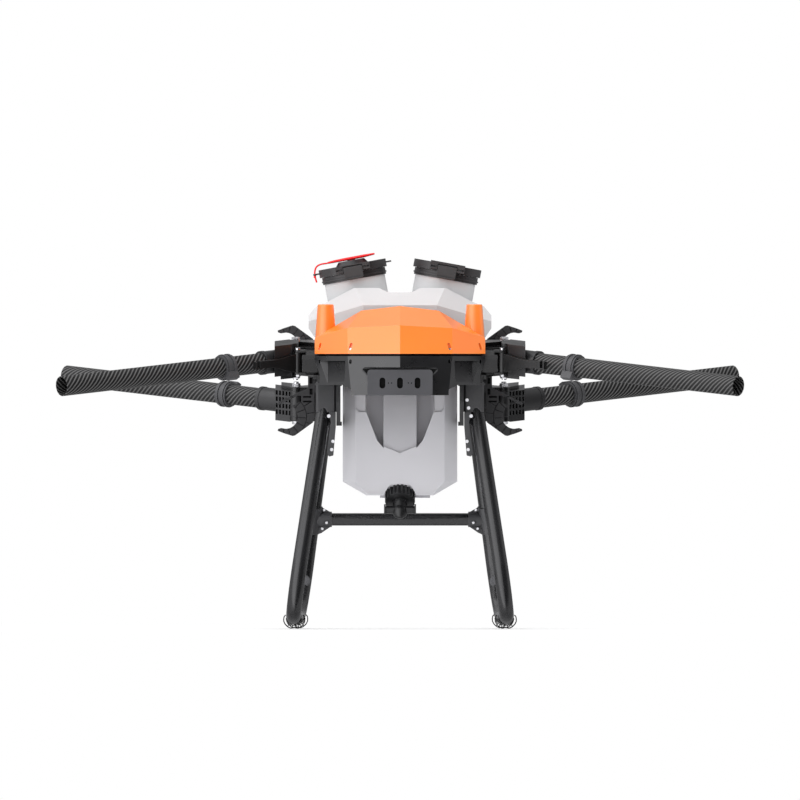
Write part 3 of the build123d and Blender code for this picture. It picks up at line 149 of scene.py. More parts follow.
class Material(Graph):
    """A material around one Principled shader, textured in object coordinates."""

    def __init__(self, name):
        self.data = bpy.data.materials.new(name)
        super().__init__(self.data)
        self.output = self.add("ShaderNodeOutputMaterial")
        self.shader = self.add("ShaderNodeBsdfPrincipled")
        self.put(self.output.inputs[0], self.shader.outputs[0])
        self.coords = self.add("ShaderNodeTexCoord").outputs["Object"]

    def math(self, operation, first, second=0.0):
        result = super().math(operation, first, second)
        result.node.inputs[2].default_value = 0.0
        return result

    def dot(self, first, second):
        node = self.add("ShaderNodeVectorMath", operation="DOT_PRODUCT")
        self.put(node.inputs[0], first)
        self.put(node.inputs[1], second)
        return node.outputs["Value"]

    def noise(self, scale, detail=3.0, rough=0.5):
        node = self.add("ShaderNodeTexNoise")
        self.put(node.inputs["Vector"], self.coords)
        node.inputs["Scale"].default_value = scale
        node.inputs["Detail"].default_value = detail
        node.inputs["Roughness"].default_value = rough
        return node.outputs["Fac"]

    def voronoi(self, scale):
        node = self.add("ShaderNodeTexVoronoi", feature="F1")
        self.put(node.inputs["Vector"], self.coords)
        node.inputs["Scale"].default_value = scale
        return node.outputs["Distance"]

    def bump(self, height, strength, distance, normal=None):
        node = self.add("ShaderNodeBump")
        node.inputs["Strength"].default_value = strength
        node.inputs["Distance"].default_value = distance
        self.put(node.inputs["Height"], height)
        if normal is not None:
            self.put(node.inputs["Normal"], normal)
        return node.outputs[0]

    def bevel(self, radius):
        node = self.add("ShaderNodeBevel", samples=4)
        node.inputs["Radius"].default_value = radius
        return node.outputs[0]

    def edge(self, radius):
        """0 on flats, towards 1 at edges, where the bevelled normal leaves the real one."""
        geometry = self.add("ShaderNodeNewGeometry")
        likeness = self.dot(self.bevel(radius), geometry.outputs["Normal"])
        return self.remap(likeness, (1.0, 0.93))

    def finish(self, **inputs):
        """Set the Principled inputs (underscores stand for spaces); return the material."""
        for key, value in inputs.items():
            self.put(self.shader.inputs[key.replace("_", " ")], value)
        return self.data


def srgb(*channels):
    """Linear colour from 8-bit sRGB channels."""
    shares = [channel / 255.0 for channel in channels]
    return tuple(share / 12.92 if share <= 0.04045 else ((share + 0.055) / 1.055) ** 2.4
                 for share in shares)


# -------------------------------------------------------------------- materials
def moulded(name, base, rough, grain, grain_height, wear, specular=0.5, bevel=0.0008,
            rubbed=(0.16, 0.16, 0.17), shade_reach=0.004, shade_local=True, recess=False):
    """Moulded plastic: fine grain, colour drift, brighter rubbed edges, painted shade in recesses.
    """
    mat = Material(name)
    drift = mat.noise(scale=9.0, detail=4, rough=0.6)
    color = mat.mix(mat.remap(drift, (0.3, 0.7)),
                    tuple(c * 0.86 for c in base), tuple(c * 1.16 for c in base))
    roughness = mat.remap(mat.noise(scale=34.0, detail=4, rough=0.65),
                          (0.3, 0.7), (rough - 0.05, rough + 0.06))
    if wear:
        patches = mat.remap(mat.noise(scale=70.0, detail=5, rough=0.7), (0.38, 0.66), (0.0, wear))
        scuff = mat.math("MULTIPLY", mat.edge(radius=bevel * 1.6), patches)
        color = mat.mix(scuff, color, rubbed)
        roughness = mat.math("ADD", roughness, mat.math("MULTIPLY", scuff, 0.1))
    normal = mat.bump(mat.voronoi(grain), strength=grain_height, distance=0.0004,
                      normal=mat.bevel(bevel) if bevel else None)
    # painted shade: occlusion darkens the colour and the reflection in creases, recesses and at
    # contacts
    if shade_reach:
        node = mat.add("ShaderNodeAmbientOcclusion", samples=4, only_local=shade_local)
        node.inputs["Distance"].default_value = shade_reach
        shade = mat.remap(node.outputs["AO"], (0.42, 0.80), (0.12, 1.0))
        color = mat.mix(shade, tuple(c * 0.15 for c in base), color)
        specular = mat.math("MULTIPLY", shade, specular)
    if recess:
        # painted shade: the hollow behind the sensor plate, widening upwards, turns near black
        # with weak reflection, as hardly any light gets in
        x, y, z = mat.xyz(mat.coords)
        half_width = mat.remap(z, (0.508, 0.5185), (0.065, 0.0748))
        inside = mat.math("SUBTRACT", half_width, mat.math("ABSOLUTE", x))
        dark = mat.math("MULTIPLY", mat.remap(inside, (0.0, 0.0007)),
                        mat.remap(z, (0.5184, 0.5192), (1.0, 0.0)))
        color = mat.mix(dark, color, (0.002, 0.002, 0.002))
        specular = mat.math("MULTIPLY", specular, mat.remap(dark, (0.0, 1.0), (1.0, 0.12)))
    return mat.finish(Base_Color=color, Roughness=roughness, Normal=normal,
                      Specular_IOR_Level=specular)


def steel():
    mat = Material("mat_steel")
    streak = mat.noise(scale=420.0, detail=3, rough=0.6)
    color = mat.mix(streak, (0.62, 0.62, 0.64), (0.82, 0.82, 0.84))
    return mat.finish(
        Base_Color=color, Metallic=1.0, Roughness=mat.remap(streak, (0.3, 0.7), (0.16, 0.34)),
        Normal=mat.bump(streak, strength=0.06, distance=0.0003, normal=mat.bevel(0.0005)))


def carbon_tube(corner):
    """Wound tube: helical bands of tow, dark and mid grey, about the arm's axis."""
    band_count, band_pitch = 13.0, 0.0100   # whole counts close the seam
    tow_count, tow_pitch = 47.0, 0.0026
    mount = MOUNTS["arm_end_" + corner]
    axis = Vector(mount["axis"]).normalized()
    side = axis.orthogonal().normalized()
    mat = Material("mat_carbon_tube_" + corner)
    offset = mat.add("ShaderNodeVectorMath", operation="SUBTRACT")
    mat.put(offset.inputs[0], mat.coords)
    mat.put(offset.inputs[1], tuple(mount["pos_m"]))
    along, first, second = (mat.dot(offset.outputs[0], tuple(direction))
                            for direction in (axis, side, axis.cross(side)))
    angle = mat.math("ARCTAN2", first, second)

    def turns(operation, pitch, factor):
        return mat.math(operation, mat.math("DIVIDE", along, pitch),
                        mat.math("MULTIPLY", angle, factor))

    band_turns = turns("ADD", band_pitch, -band_count / (2 * math.pi))
    tow_turns = turns("SUBTRACT", tow_pitch, -tow_count / (2 * math.pi))
    wobble = mat.remap(mat.noise(scale=30.0, detail=3, rough=0.6), (0.3, 0.7), (-0.5, 0.5))
    wave = mat.math("SINE", mat.math("ADD", mat.math("MULTIPLY", band_turns, 2 * math.pi), wobble))
    tow = mat.math("SINE", mat.math("MULTIPLY", tow_turns, 2 * math.pi))
    weave = mat.math("ADD", wave, mat.math("MULTIPLY", tow, 0.10))
    color = mat.ramp(mat.remap(weave, (-1.1, 1.1)), [
        (0.0, (0.0035, 0.0035, 0.0035)), (0.50, (0.006, 0.006, 0.0062)),
        (0.68, (0.048, 0.047, 0.047)), (0.86, (0.110, 0.109, 0.108)),
        (1.0, (0.122, 0.121, 0.120))])
    fine = mat.noise(scale=1900.0, detail=2, rough=0.5)
    color = mat.mix(mat.remap(fine, (0.35, 0.65), (0.0, 0.22)), color, (0.010, 0.010, 0.0105))
    height = mat.math("ADD", weave, mat.math("MULTIPLY", fine, 0.3))
    return mat.finish(
        Base_Color=color, Roughness=mat.remap(weave, (-1.0, 1.0), (0.55, 0.42)),
        Normal=mat.bump(height, strength=0.35, distance=0.0006), Specular_IOR_Level=0.28)


def carbon_plate():
    """Twill plate."""
    weave_size = 0.0042
    mat = Material("mat_carbon_plate")
    x, y, z = (mat.math("MULTIPLY", part, 1.0 / weave_size) for part in mat.xyz(mat.coords))
    total = mat.math("ADD", x, mat.math("ADD", y, z))
    diagonal = mat.math("SINE", mat.math("MULTIPLY", total, math.pi))
    cross = mat.math("SINE", mat.math("MULTIPLY", mat.math("SUBTRACT", x, y), math.pi * 0.5))
    weave = mat.math("MULTIPLY", diagonal, cross)
    color = mat.ramp(mat.remap(weave, (-1, 1)), [
        (0.0, (0.006, 0.006, 0.0065)), (0.55, (0.016, 0.016, 0.017)),
        (1.0, (0.055, 0.055, 0.057))])
    return mat.finish(
        Base_Color=color, Roughness=mat.remap(weave, (-1, 1), (0.3, 0.42)),
        Normal=mat.bump(weave, strength=0.15, distance=0.0003, normal=mat.bevel(0.0004)),
        Coat_Weight=0.4, Coat_Roughness=0.12)


def orange_shell():
    """Glossy coated orange with paler edges."""
    mat = Material("mat_orange_shell")
    drift = mat.noise(scale=6.0, detail=3, rough=0.5)
    color = mat.mix(mat.remap(drift, (0.3, 0.7)), (0.98, 0.200, 0.004), (1.0, 0.225, 0.007))
    patches = mat.remap(mat.noise(scale=60, detail=4, rough=0.6), (0.4, 0.6), (0.15, 0.45))
    color = mat.mix(mat.math("MULTIPLY", mat.edge(radius=0.0014), patches),
                    color, (1.0, 0.46, 0.16))
    grain = mat.noise(scale=1500.0, detail=2, rough=0.5)
    smear = mat.noise(scale=22, detail=4, rough=0.6)
    return mat.finish(
        Base_Color=color, Roughness=mat.remap(smear, (0.3, 0.7), (0.30, 0.36)),
        Normal=mat.bump(grain, strength=0.04, distance=0.0003, normal=mat.bevel(0.0009)),
        Specular_IOR_Level=0.62, Coat_Weight=1.0, Coat_Roughness=0.26, Coat_IOR=1.52)


def poly_tank():
    """Natural polyethylene: milky, light scattering through the wall, faint ripple."""
    mat = Material("mat_tank_poly")
    drift = mat.noise(scale=4.0, detail=4, rough=0.55)
    x, y, z = mat.xyz(mat.coords)
    low = mat.remap(z, (0.60, 0.48))
    # painted shade under the hood: the middle column and the deep valleys are darkened
    inner = mat.math("MULTIPLY", mat.remap(mat.math("ABSOLUTE", x), (0.072, 0.060)),
                     mat.remap(y, (-0.0975, -0.0935)))
    deep = mat.math("MULTIPLY", inner, mat.remap(z, (0.345, 0.50), (0.25, 1.0)))
    base = mat.mix(low, (0.56, 0.56, 0.565), (0.590, 0.585, 0.610))
    base = mat.mix(mat.math("MULTIPLY", deep, low), base, (0.32, 0.317, 0.335))
    color = mat.mix(mat.remap(drift, (0.35, 0.65), (0.0, 0.22)), base,
                    mat.mix(low, (0.52, 0.52, 0.53), (0.54, 0.535, 0.56)))
    ripple = mat.noise(scale=30.0, detail=2, rough=0.4)
    fine = mat.noise(scale=600.0, detail=3, rough=0.6)
    height = mat.math("ADD", mat.math("MULTIPLY", ripple, 1.0), mat.math("MULTIPLY", fine, 0.12))
    return mat.finish(
        Base_Color=color, Roughness=mat.remap(fine, (0.3, 0.7), (0.46, 0.56)),
        Subsurface_Weight=0.25, Subsurface_Radius=(0.02, 0.02, 0.021), Subsurface_Scale=0.35,
        Normal=mat.bump(height, strength=0.08, distance=0.0012), Specular_IOR_Level=0.30)


def silicone():
    mat = Material("mat_silicone_red")
    mottle = mat.noise(scale=120.0, detail=3, rough=0.5)
    return mat.finish(
        Base_Color=mat.mix(mottle, srgb(236, 10, 18), srgb(255, 30, 34)),
        Roughness=mat.remap(mottle, (0.3, 0.7), (0.42, 0.55)),
        Subsurface_Weight=0.1, Subsurface_Radius=(0.004, 0.001, 0.001),
        Normal=mat.bump(mottle, strength=0.1, distance=0.0004, normal=mat.bevel(0.0006)))


def board():
    """Circuit board: gold spots on green."""
    mat = Material("mat_circuit_green")
    cells = mat.voronoi(scale=260.0)
    return mat.finish(
        Base_Color=mat.mix(mat.remap(cells, (0.0, 0.4)), (0.45, 0.33, 0.08), (0.01, 0.09, 0.035)),
        Roughness=mat.remap(mat.noise(scale=90), (0.3, 0.7), (0.22, 0.4)),
        Normal=mat.bump(cells, strength=0.2, distance=0.0003))


def dome_black():
    """Black dome with a painted red reflection from the silicone plug towards +X."""
    mat = Material("mat_dome_black")
    x, y, z = mat.xyz(mat.coords)
    mottle = mat.noise(scale=160.0, detail=3, rough=0.6)
    # painted reflection: red bounce from the silicone plug, ragged at its edge, towards +X
    red_reflection_reach = mat.math("ADD", x, mat.math("MULTIPLY", mottle, 0.004))
    return mat.finish(
        Base_Color=mat.mix(mat.remap(red_reflection_reach, (-0.090, -0.074)),
                           (0.010, 0.009, 0.010), (0.020, 0.0055, 0.0060)),
        Roughness=mat.remap(mottle, (0.3, 0.7), (0.36, 0.5)),
        Normal=mat.bump(mottle, strength=0.08, distance=0.0004, normal=mat.bevel(0.0006)))


# slot: (colour, roughness, grain scale, grain height, wear, other settings)
DARK_RUB = (0.10, 0.10, 0.105)
MOULDED = {
    "black_plate": ((0.014, 0.014, 0.0155), 0.40, 1100, 0.1, 0.4, {}),
    "black_nylon": ((0.0130, 0.0128, 0.0136), 0.38, 800, 0.12, 0.5, {}),
    "grey_nylon": ((0.085, 0.085, 0.090), 0.46, 700, 0.14, 0.35, {"rubbed": (0.26, 0.26, 0.27)}),
    "lever_black": ((0.0045, 0.0043, 0.0044), 0.34, 900, 0.08, 0.35, {"rubbed": DARK_RUB}),
    "black_tube": ((0.0100, 0.0100, 0.0110), 0.25, 1600, 0.012, 0.0,
                   {"bevel": 0, "shade_reach": 0, "specular": 0.62}),
    "socket_black": ((0.046, 0.046, 0.049), 0.40, 900, 0.10, 0.4, {}),
    "rubber_black": ((0.010, 0.010, 0.010), 0.72, 600, 0.3, 0.3, {}),
    "black_shell": ((0.0085, 0.0085, 0.0095), 0.30, 1300, 0.03, 0.30,
                    {"bevel": 0.001, "specular": 0.78, "shade_reach": 0.010,
                     "shade_local": False, "recess": True}),
    "sensor_black": ((0.046, 0.046, 0.051), 0.42, 1500, 0.05, 0.3, {}),
    "rest_black": ((0.0210, 0.0206, 0.0220), 0.48, 800, 0.10, 0.35,
                   {"specular": 0.42, "shade_reach": 0.007}),
    "basket_white": ((0.72, 0.72, 0.71), 0.5, 700, 0.1, 0.1, {"rubbed": (0.8, 0.8, 0.8)}),
    "latch_black": ((0.030, 0.030, 0.031), 0.42, 900, 0.10, 0.5, {}),
    "cap_black": ((0.024, 0.022, 0.023), 0.38, 900, 0.10, 0.5, {}),
    "outlet_black": ((0.008, 0.008, 0.0086), 0.36, 800, 0.10, 0.4, {}),
    "root_black": ((0.0055, 0.0052, 0.0055), 0.27, 800, 0.05, 0.45, {"rubbed": DARK_RUB}),
    "tray_black": ((0.016, 0.016, 0.0175), 0.44, 800, 0.15, 0.5, {}),
    "bumper_grey": ((0.115, 0.115, 0.122), 0.5, 900, 0.08, 0.2, {"specular": 0.35}),
}
MATERIALS = {slot: moulded("mat_" + slot, *values, **others)
             for slot, (*values, others) in MOULDED.items()}
MATERIALS.update(
    carbon_plate=carbon_plate(), orange_shell=orange_shell(), tank_poly=poly_tank(),
    silicone_red=silicone(), circuit_green=board(), steel=steel(), dome_black=dome_black())
for corner in CORNERS:
    MATERIALS["carbon_tube_" + corner] = carbon_tube(corner)

# nodes that take another material than their slot's
REPAINTED = {"vent_dome": "dome_black"}
for corner in CORNERS:
    REPAINTED["root_bracket_" + corner] = "root_black"
    REPAINTED["ring_clamp_" + corner] = "socket_black"


def slot_of(node):
    return next((part["material_slot"] for part in RECORD["subparts"] if part["node"] == node),
                None)


def material_of(node):
    if node in REPAINTED:
        return MATERIALS[REPAINTED[node]]
    if node.startswith("arm_rest"):
        return MATERIALS["rest_black"]
    slot = slot_of(node)
    if slot == "carbon_tube":
        return MATERIALS["carbon_tube_" + node.replace("arm_tube_", "")]
    return MATERIALS[slot]


def paint(obj, material):
    if not obj.material_slots:
        obj.data.materials.append(material)
    else:
        for slot in obj.material_slots:
            slot.material = material


for name, obj in NODES.items():
    paint(obj, material_of(name))


# ------------------------------------------------------------------ piece tools
def piece(name, mesh, body, slot, material=None):
    """An object in the given slot, riding a body if one is given."""
    obj = bpy.data.objects.new(name, mesh)
    scene.collection.objects.link(obj)
    paint(obj, material or MATERIALS[slot])
    if body:
        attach(obj, body)
    return obj


def shade_smooth(mesh):
    mesh.polygons.foreach_set("use_smooth", [True] * len(mesh.polygons))


def mesh_from(bm, name, sharp_angle=None):
    """Mesh from a bmesh; with an angle in degrees, smooth but for edges sharper than it."""
    mesh = bpy.data.meshes.new(name)
    bm.normal_update()
    bm.to_mesh(mesh)
    bm.free()
    if sharp_angle is not None:
        shade_smooth(mesh)
        mesh.set_sharp_from_angle(angle=math.radians(sharp_angle))
    return mesh


def softened(node, name, width, segments, angle, dissolve):
    """The node's own form with rounded moulded edges, standing for the node."""
    source = NODES[node]
    bm = bmesh.new()
    bm.from_mesh(source.data)
    bmesh.ops.remove_doubles(bm, verts=bm.verts, dist=2e-6)
    if dissolve:
        bmesh.ops.dissolve_limit(bm, angle_limit=math.radians(dissolve), verts=bm.verts,
                                 edges=bm.edges)
    rough_mesh = mesh_from(bm, name)
    shade_smooth(rough_mesh)
    obj = piece(name, rough_mesh, source["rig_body"], slot_of(node),
                source.material_slots[0].material)
    bevel = obj.modifiers.new("round", "BEVEL")
    bevel.width = width
    bevel.segments = segments
    bevel.limit_method = "ANGLE"
    bevel.angle_limit = math.radians(angle)
    bevel.miter_outer = "MITER_ARC"
    normals = obj.modifiers.new("normals", "WEIGHTED_NORMAL")
    normals.weight = 80
    normals.keep_sharp = False
    bpy.context.view_layer.update()
    graph = bpy.context.evaluated_depsgraph_get()
    round_mesh = bpy.data.meshes.new_from_object(obj.evaluated_get(graph))
    obj.modifiers.clear()
    obj.data = round_mesh
    bpy.data.meshes.remove(rough_mesh)
    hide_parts(node)


def skin(name, bm, rings, sharp_angle):
    """Closed mesh over rings of vertices; an end ring of one vertex is a pole."""
    count = max(len(ring) for ring in rings)
    for lower, upper in zip(rings, rings[1:]):
        for i in range(count):
            j = (i + 1) % count
            if len(lower) == 1:
                bm.faces.new((lower[0], upper[j], upper[i]))
            elif len(upper) == 1:
                bm.faces.new((lower[i], lower[j], upper[0]))
            else:
                bm.faces.new((lower[i], lower[j], upper[j], upper[i]))
    if len(rings[0]) > 1:
        bm.faces.new(list(reversed(rings[0])))
        bm.faces.new(rings[-1])
    bmesh.ops.recalc_face_normals(bm, faces=bm.faces)
    return mesh_from(bm, name, sharp_angle)


def strip(name, rows, place, count, power):
    """Soft strip of rounded section from rows of (station, half width, low, high)."""
    bm = bmesh.new()
    rings = []
    for station, half_width, low, high in rows:
        middle, half_height = (low + high) / 2, (high - low) / 2
        ring = []
        for i in range(count):
            angle = 2 * math.pi * i / count
            cos, sin = math.cos(angle), math.sin(angle)
            across = half_width * math.copysign(abs(cos) ** power, cos)
            height = middle + half_height * math.copysign(abs(sin) ** power, sin)
            ring.append(bm.verts.new(place(station, across, height)))
        rings.append(ring)
    return skin(name, bm, rings, 50)


def lathe(name, profile, place, count):
    """Turned form from a (radius, height) profile, from the axis back to the axis."""
    bm = bmesh.new()
    rings = []
    for radius, height in profile:
        if radius < 1e-6:
            rings.append([bm.verts.new(place(0, 0, height))])
            continue
        angles = [2 * math.pi * i / count for i in range(count)]
        rings.append([bm.verts.new(place(radius * math.cos(a), radius * math.sin(a), height))
                      for a in angles])
    return skin(name, bm, rings, 40)


def smooth_line(points, steps):
    """Catmull-Rom line through the points, with the given steps between each two."""
    points = [Vector(point) for point in points]
    padded = [points[0] * 2 - points[1]] + points + [points[-1] * 2 - points[-2]]
    line = []
    for before, start, end, after in zip(padded, padded[1:], padded[2:], padded[3:]):
        for step in range(steps):
            t = step / steps
            line.append(0.5 * ((2 * start) + (end - before) * t
                               + (2 * before - 5 * start + 4 * end - after) * t * t
                               + (3 * start - before - 3 * end + after) * t ** 3))
    return line + [points[-1]]


def cord(name, points, radius, count=12, steps=8):
    """Slightly uneven round cord, in a plane of constant y, narrowing at both ends."""
    line = smooth_line(points, steps)
    last = len(line) - 1
    tapers = {0: 0.55, 1: 0.92, last - 1: 0.92, last: 0.55}
    side = Vector((0, 1, 0))
    bm = bmesh.new()
    rings = []
    for i, point in enumerate(line):
        tangent = (line[min(i + 1, last)] - line[max(i - 1, 0)]).normalized()
        up = tangent.cross(side).normalized()
        reach = radius * tapers.get(i, 1.0) * (1.0 + 0.05 * math.sin(i * 1.7))
        angles = [2 * math.pi * k / count for k in range(count)]
        rings.append([bm.verts.new((point + side * reach * math.cos(a)
                                    + up * reach * math.sin(a)) * MM) for a in angles])
    return skin(name, bm, rings, 60)


# ------------------------------------------------- vent plug, pull tab and cord (mm)
NECK = Vector((-90.6, 0.0, 698.2))
NECK_TILT = math.radians(10.3)              # about Y, so the strap rises towards +X
NECK_ALONG = Vector((math.cos(NECK_TILT), 0, math.sin(NECK_TILT)))
NECK_ACROSS = Vector((0, 1, 0))
NECK_UP = Vector((-math.sin(NECK_TILT), 0, math.cos(NECK_TILT)))
STRAP_BASE = 39.8                           # height of the strap's underside over the neck
# place along, half width, underside and top over the strap base
STRAP = [
    (-49.4, 3.2, 0.8, 2.8), (-48.2, 6.6, 0.35, 3.7), (-44.0, 8.6, 0.1, 4.5),
    (-34.0, 9.6, 0, 5.4), (-24.0, 10.8, 0, 5.6), (-14.0, 12.0, 0, 6.0),
    (0.0, 12.9, 0, 6.1), (12.0, 12.9, 0, 6.1), (20.0, 12.4, 0, 6.2),
    (27.0, 12.0, 0.2, 6.2), (34.0, 11.4, 0.8, 6.0), (40.0, 10.6, 1.3, 5.8),
    (44.0, 9.0, 1.6, 5.8), (46.6, 6.4, 1.9, 5.6), (48.4, 3.4, 2.5, 5.0)]
# radius, height over the neck
BUTTON = [(0, 31.0), (6.2, 31.0), (7.4, 31.7), (8.0, 33.0), (8.0, 36.0), (7.4, 37.0),
          (7.4, 37.8), (8.0, 38.8), (8.0, 41.0), (0, 41.6)]
CORD_Y = -3.6
# x, z along the cord
CORD = [(-146.0, 730.2), (-151.0, 729.7), (-156.5, 728.8), (-163.0, 726.4), (-167.4, 722.6),
        (-169.6, 717.6), (-170.6, 711.0), (-170.1, 704.6), (-168.6, 698.6), (-166.4, 691.8)]
BEAD_CENTRE = Vector((-170.3, CORD_Y, 707.2))
# radius, height over the bead's centre
BEAD = [(0, -1.7), (2.6, -1.7), (3.3, -1.0), (3.4, 0.0), (3.3, 1.0), (2.6, 1.7), (0, 1.7)]
COLLAR = [(0, -6.4), (1.8, -6.4), (2.5, -4.6), (2.5, -2.6), (2.1, -1.8), (0, -1.8)]


def on_neck(along, across, height):
    return (NECK + NECK_ALONG * along + NECK_ACROSS * across + NECK_UP * height) * MM


def on_bead(x, y, z):
    return (BEAD_CENTRE + Vector((x, y, z))) * MM


def vent_plug():
    rows = [(along, half, STRAP_BASE + low, STRAP_BASE + high)
            for along, half, low, high in STRAP]
    strap = piece("vent_plug_strap", strip("vent_plug_strap", rows, on_neck, 24, power=0.55),
                  "vent_plug", "silicone_red")
    piece("vent_plug_button", lathe("vent_plug_button", BUTTON, on_neck, 40),
          "vent_plug", "silicone_red")
    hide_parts("vent_plug")


def tether():
    points = [(x, CORD_Y, z) for x, z in CORD]
    obj = piece("tether_cord", cord("tether_cord", points, radius=1.62), None, "silicone_red")
    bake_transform(obj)
    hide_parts("plug_tether")


def tether_bead():
    for name, profile, count, slot in (("tether_bead", BEAD, 32, "cap_black"),
                                       ("tether_collar", COLLAR, 28, "silicone_red")):
        piece(name, lathe(name, profile, on_bead, count), "lid_left", slot)


# -------------------------------------------------- skid pads and leg bumpers (mm)
SKID_FRONT_X, SKID_REAR_X = -216.2, -201    # left skid's centre line at its two ends
SKID_HALF = 215
PAD_LENGTH = 28
PAD_STARTS = (-88.0, 60.0)
PAD_RADIUS = 16.6                           # wall round the skid tube
TUBE_Z = 23.0
WEB_INSET = 0.0006                          # metres; inner walls stop short of the outer one
# x, z of the outer wall from its left top to beside the middle
PAD_HALF = [(-17.2, 27.5), (-20.2, 24.5), (-21.2, 19.5), (-20.9, 14.5), (-18.6, 9.6),
            (-15.0, 5.6), (-11.2, 2.9), (-7.2, 1.2), (-4.0, 1.6)]
# angle on the inner wall in degrees, foot on the outer wall
WEBS = [(-128, (-13.4, 4.6)), (-104, (-2.6, 2.2)), (-76, (2.6, 2.2)), (-52, (13.4, 4.6))]
# radius, depth behind the bumper's face
BUMPER = [(0, 0.0), (8.6, 0.15), (11.2, 0.7), (12.3, 1.9), (12.5, 3.4), (12.5, 8.0), (0, 8.0)]
BUMPER_X, BUMPER_Z, BUMPER_STANDOFF = 192.4, 94.0, 3.4
PROBE_X, PROBE_Z = 0.186, 0.094             # metres; where the leg's front face is found


def add_prism(bm, points, front, rear):
    """Closed slab: outline in X and Z, from y = front to y = rear."""
    near = [bm.verts.new((x, front, z)) for x, z in points]
    far = [bm.verts.new((x, rear, z)) for x, z in points]
    bm.faces.new(near)
    bm.faces.new(list(reversed(far)))
    for i in range(len(points)):
        j = (i + 1) % len(points)
        bm.faces.new((near[j], near[i], far[i], far[j]))


def wall_outline(line, thickness):
    """Outline of a wall along a centre line."""
    points = [Vector(point) for point in line]
    left, right = [], []
    for i, point in enumerate(points):
        ahead = (points[min(i + 1, len(points) - 1)] - points[max(i - 1, 0)]).normalized()
        offset = Vector((-ahead.y, ahead.x)) * (thickness / 2)
        left.append(tuple(point + offset))
        right.append(tuple(point - offset))
    return left + list(reversed(right))


def on_inner_wall(degrees):
    angle = math.radians(degrees)
    return (PAD_RADIUS * math.cos(angle), TUBE_Z + PAD_RADIUS * math.sin(angle))


def skid_pads():
    outer = PAD_HALF + [(0.0, 3.0)] + [(-x, z) for x, z in reversed(PAD_HALF)]
    inner = [on_inner_wall(degrees) for degrees in range(188, 353, 9)]
    # centre line, thickness, inset
    walls = [(outer, 2.1, 0.0), (inner, 1.6, WEB_INSET)]
    walls += [([on_inner_wall(degrees), foot], 1.7, WEB_INSET) for degrees, foot in WEBS]
    bm = bmesh.new()
    for side in (-1, 1):
        for start in PAD_STARTS:
            from_front = start + PAD_LENGTH / 2 + SKID_HALF
            centre = (SKID_FRONT_X
                      + (SKID_REAR_X - SKID_FRONT_X) * from_front / (2 * SKID_HALF))
            for line, thickness, inset in walls:
                points = [(side * (centre + x) * MM, z * MM)
                          for x, z in wall_outline(line, thickness)]
                add_prism(bm, points, start * MM + inset, (start + PAD_LENGTH) * MM - inset)
    bmesh.ops.recalc_face_normals(bm, faces=bm.faces)
    pads = piece("skid_pads_form", mesh_from(bm, "skid_pads_form", 40), "airframe",
                 slot_of("skid_pads"), MATERIALS["rubber_black"])
    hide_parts("skid_pads")


def leg_bumper(side, sign):
    """Round disc on the front face of a landing leg."""
    leg = NODES["landing_leg_" + side]
    tree = BVHTree.FromPolygons([leg.matrix_world @ vert.co for vert in leg.data.vertices],
                                [polygon.vertices for polygon in leg.data.polygons])
    hit = tree.ray_cast(Vector((sign * PROBE_X, -1.0, PROBE_Z)), Vector((0, 1, 0)))[0]
    if hit is None:
        return
    base = Vector((sign * BUMPER_X, hit.y * 1000 - BUMPER_STANDOFF, BUMPER_Z))

    def on_leg(x, z, depth):
        return (base + Vector((x, depth, z))) * MM

    name = "leg_bumper_" + side
    piece(name, lathe(name, BUMPER, on_leg, 44), "airframe", slot_of("landing_leg_left"),
          MATERIALS["bumper_grey"])


vent_plug()
tether()
skid_pads()
leg_bumper("left", -1)
leg_bumper("right", 1)
tether_bead()

# node, new name, edge width (m), segments, least edge angle, flat-face dissolve angle
SOFTENED = [
    ("tank_shell", "tank_body_visual", 0.0055, 4, 12.0, 0.6),
    ("front_hood_upper", "hood_upper_visual", 0.0012, 3, 6.0, 0.6),
    ("front_hood_lower", "hood_lower_visual", 0.0013, 3, 8.0, 0.6),
    ("leg_sockets", "leg_sockets_form", 0.0026, 3, 30.0, 0.0),
    ("hanger_straps", "hanger_straps_form", 0.0010, 2, 30.0, 0.0),
    ("outlet_tee", "outlet_tee_form", 0.0008, 2, 30.0, 0.0)]
SOFTENED += [(f"latch_lever_{corner}", f"latch_lever_{corner}_form", 0.0012, 3, 28.0, 0.0)
             for corner in CORNERS]
for row in SOFTENED:
    softened(*row)


# ------------------------------------------------------------------------ stage
def floor_material():
    """Pale floor that fades to white for the camera and is clear to reflections."""
    mat = Material("mat_floor")
    mat.finish(Base_Color=mat.mix(mat.noise(scale=2.0), (0.80, 0.80, 0.80), (0.84, 0.84, 0.84)),
               Roughness=0.85)
    x, y, z = mat.xyz(mat.coords)
    across = mat.math("MULTIPLY", x, 1 / 1.5)
    deep = mat.math("MULTIPLY", y, 1 / 1.2)
    radius = mat.math("SQRT", mat.math("ADD", mat.math("MULTIPLY", across, across),
                                       mat.math("MULTIPLY", deep, deep)))
    fade = mat.remap(radius, (0.25, 1.0), (0.55, 1.0))
    glow = mat.add("ShaderNodeEmission")
    glow.inputs[0].default_value = (1, 1, 1, 1)
    rays = mat.add("ShaderNodeLightPath").outputs
    seen = mat.mix_shader(mat.math("MULTIPLY", fade, rays["Is Camera Ray"]),
                          mat.shader.outputs[0], glow.outputs[0])
    clear = mat.add("ShaderNodeBsdfTransparent").outputs[0]
    mat.put(mat.output.inputs[0], mat.mix_shader(rays["Is Glossy Ray"], seen, clear))
    return mat.data


def floor():
    half_x, half_y, centre_y, drop = 2.6, 2.2, 0.1, 0.0006
    bm = bmesh.new()
    bmesh.ops.create_grid(bm, x_segments=12, y_segments=12, size=1.0)
    for vert in bm.verts:
        vert.co = Vector((vert.co.x * half_x, vert.co.y * half_y + centre_y, -drop))
    obj = bpy.data.objects.new("studio_floor", mesh_from(bm, "studio_floor"))
    scene.collection.objects.link(obj)
    obj.data.materials.append(floor_material())


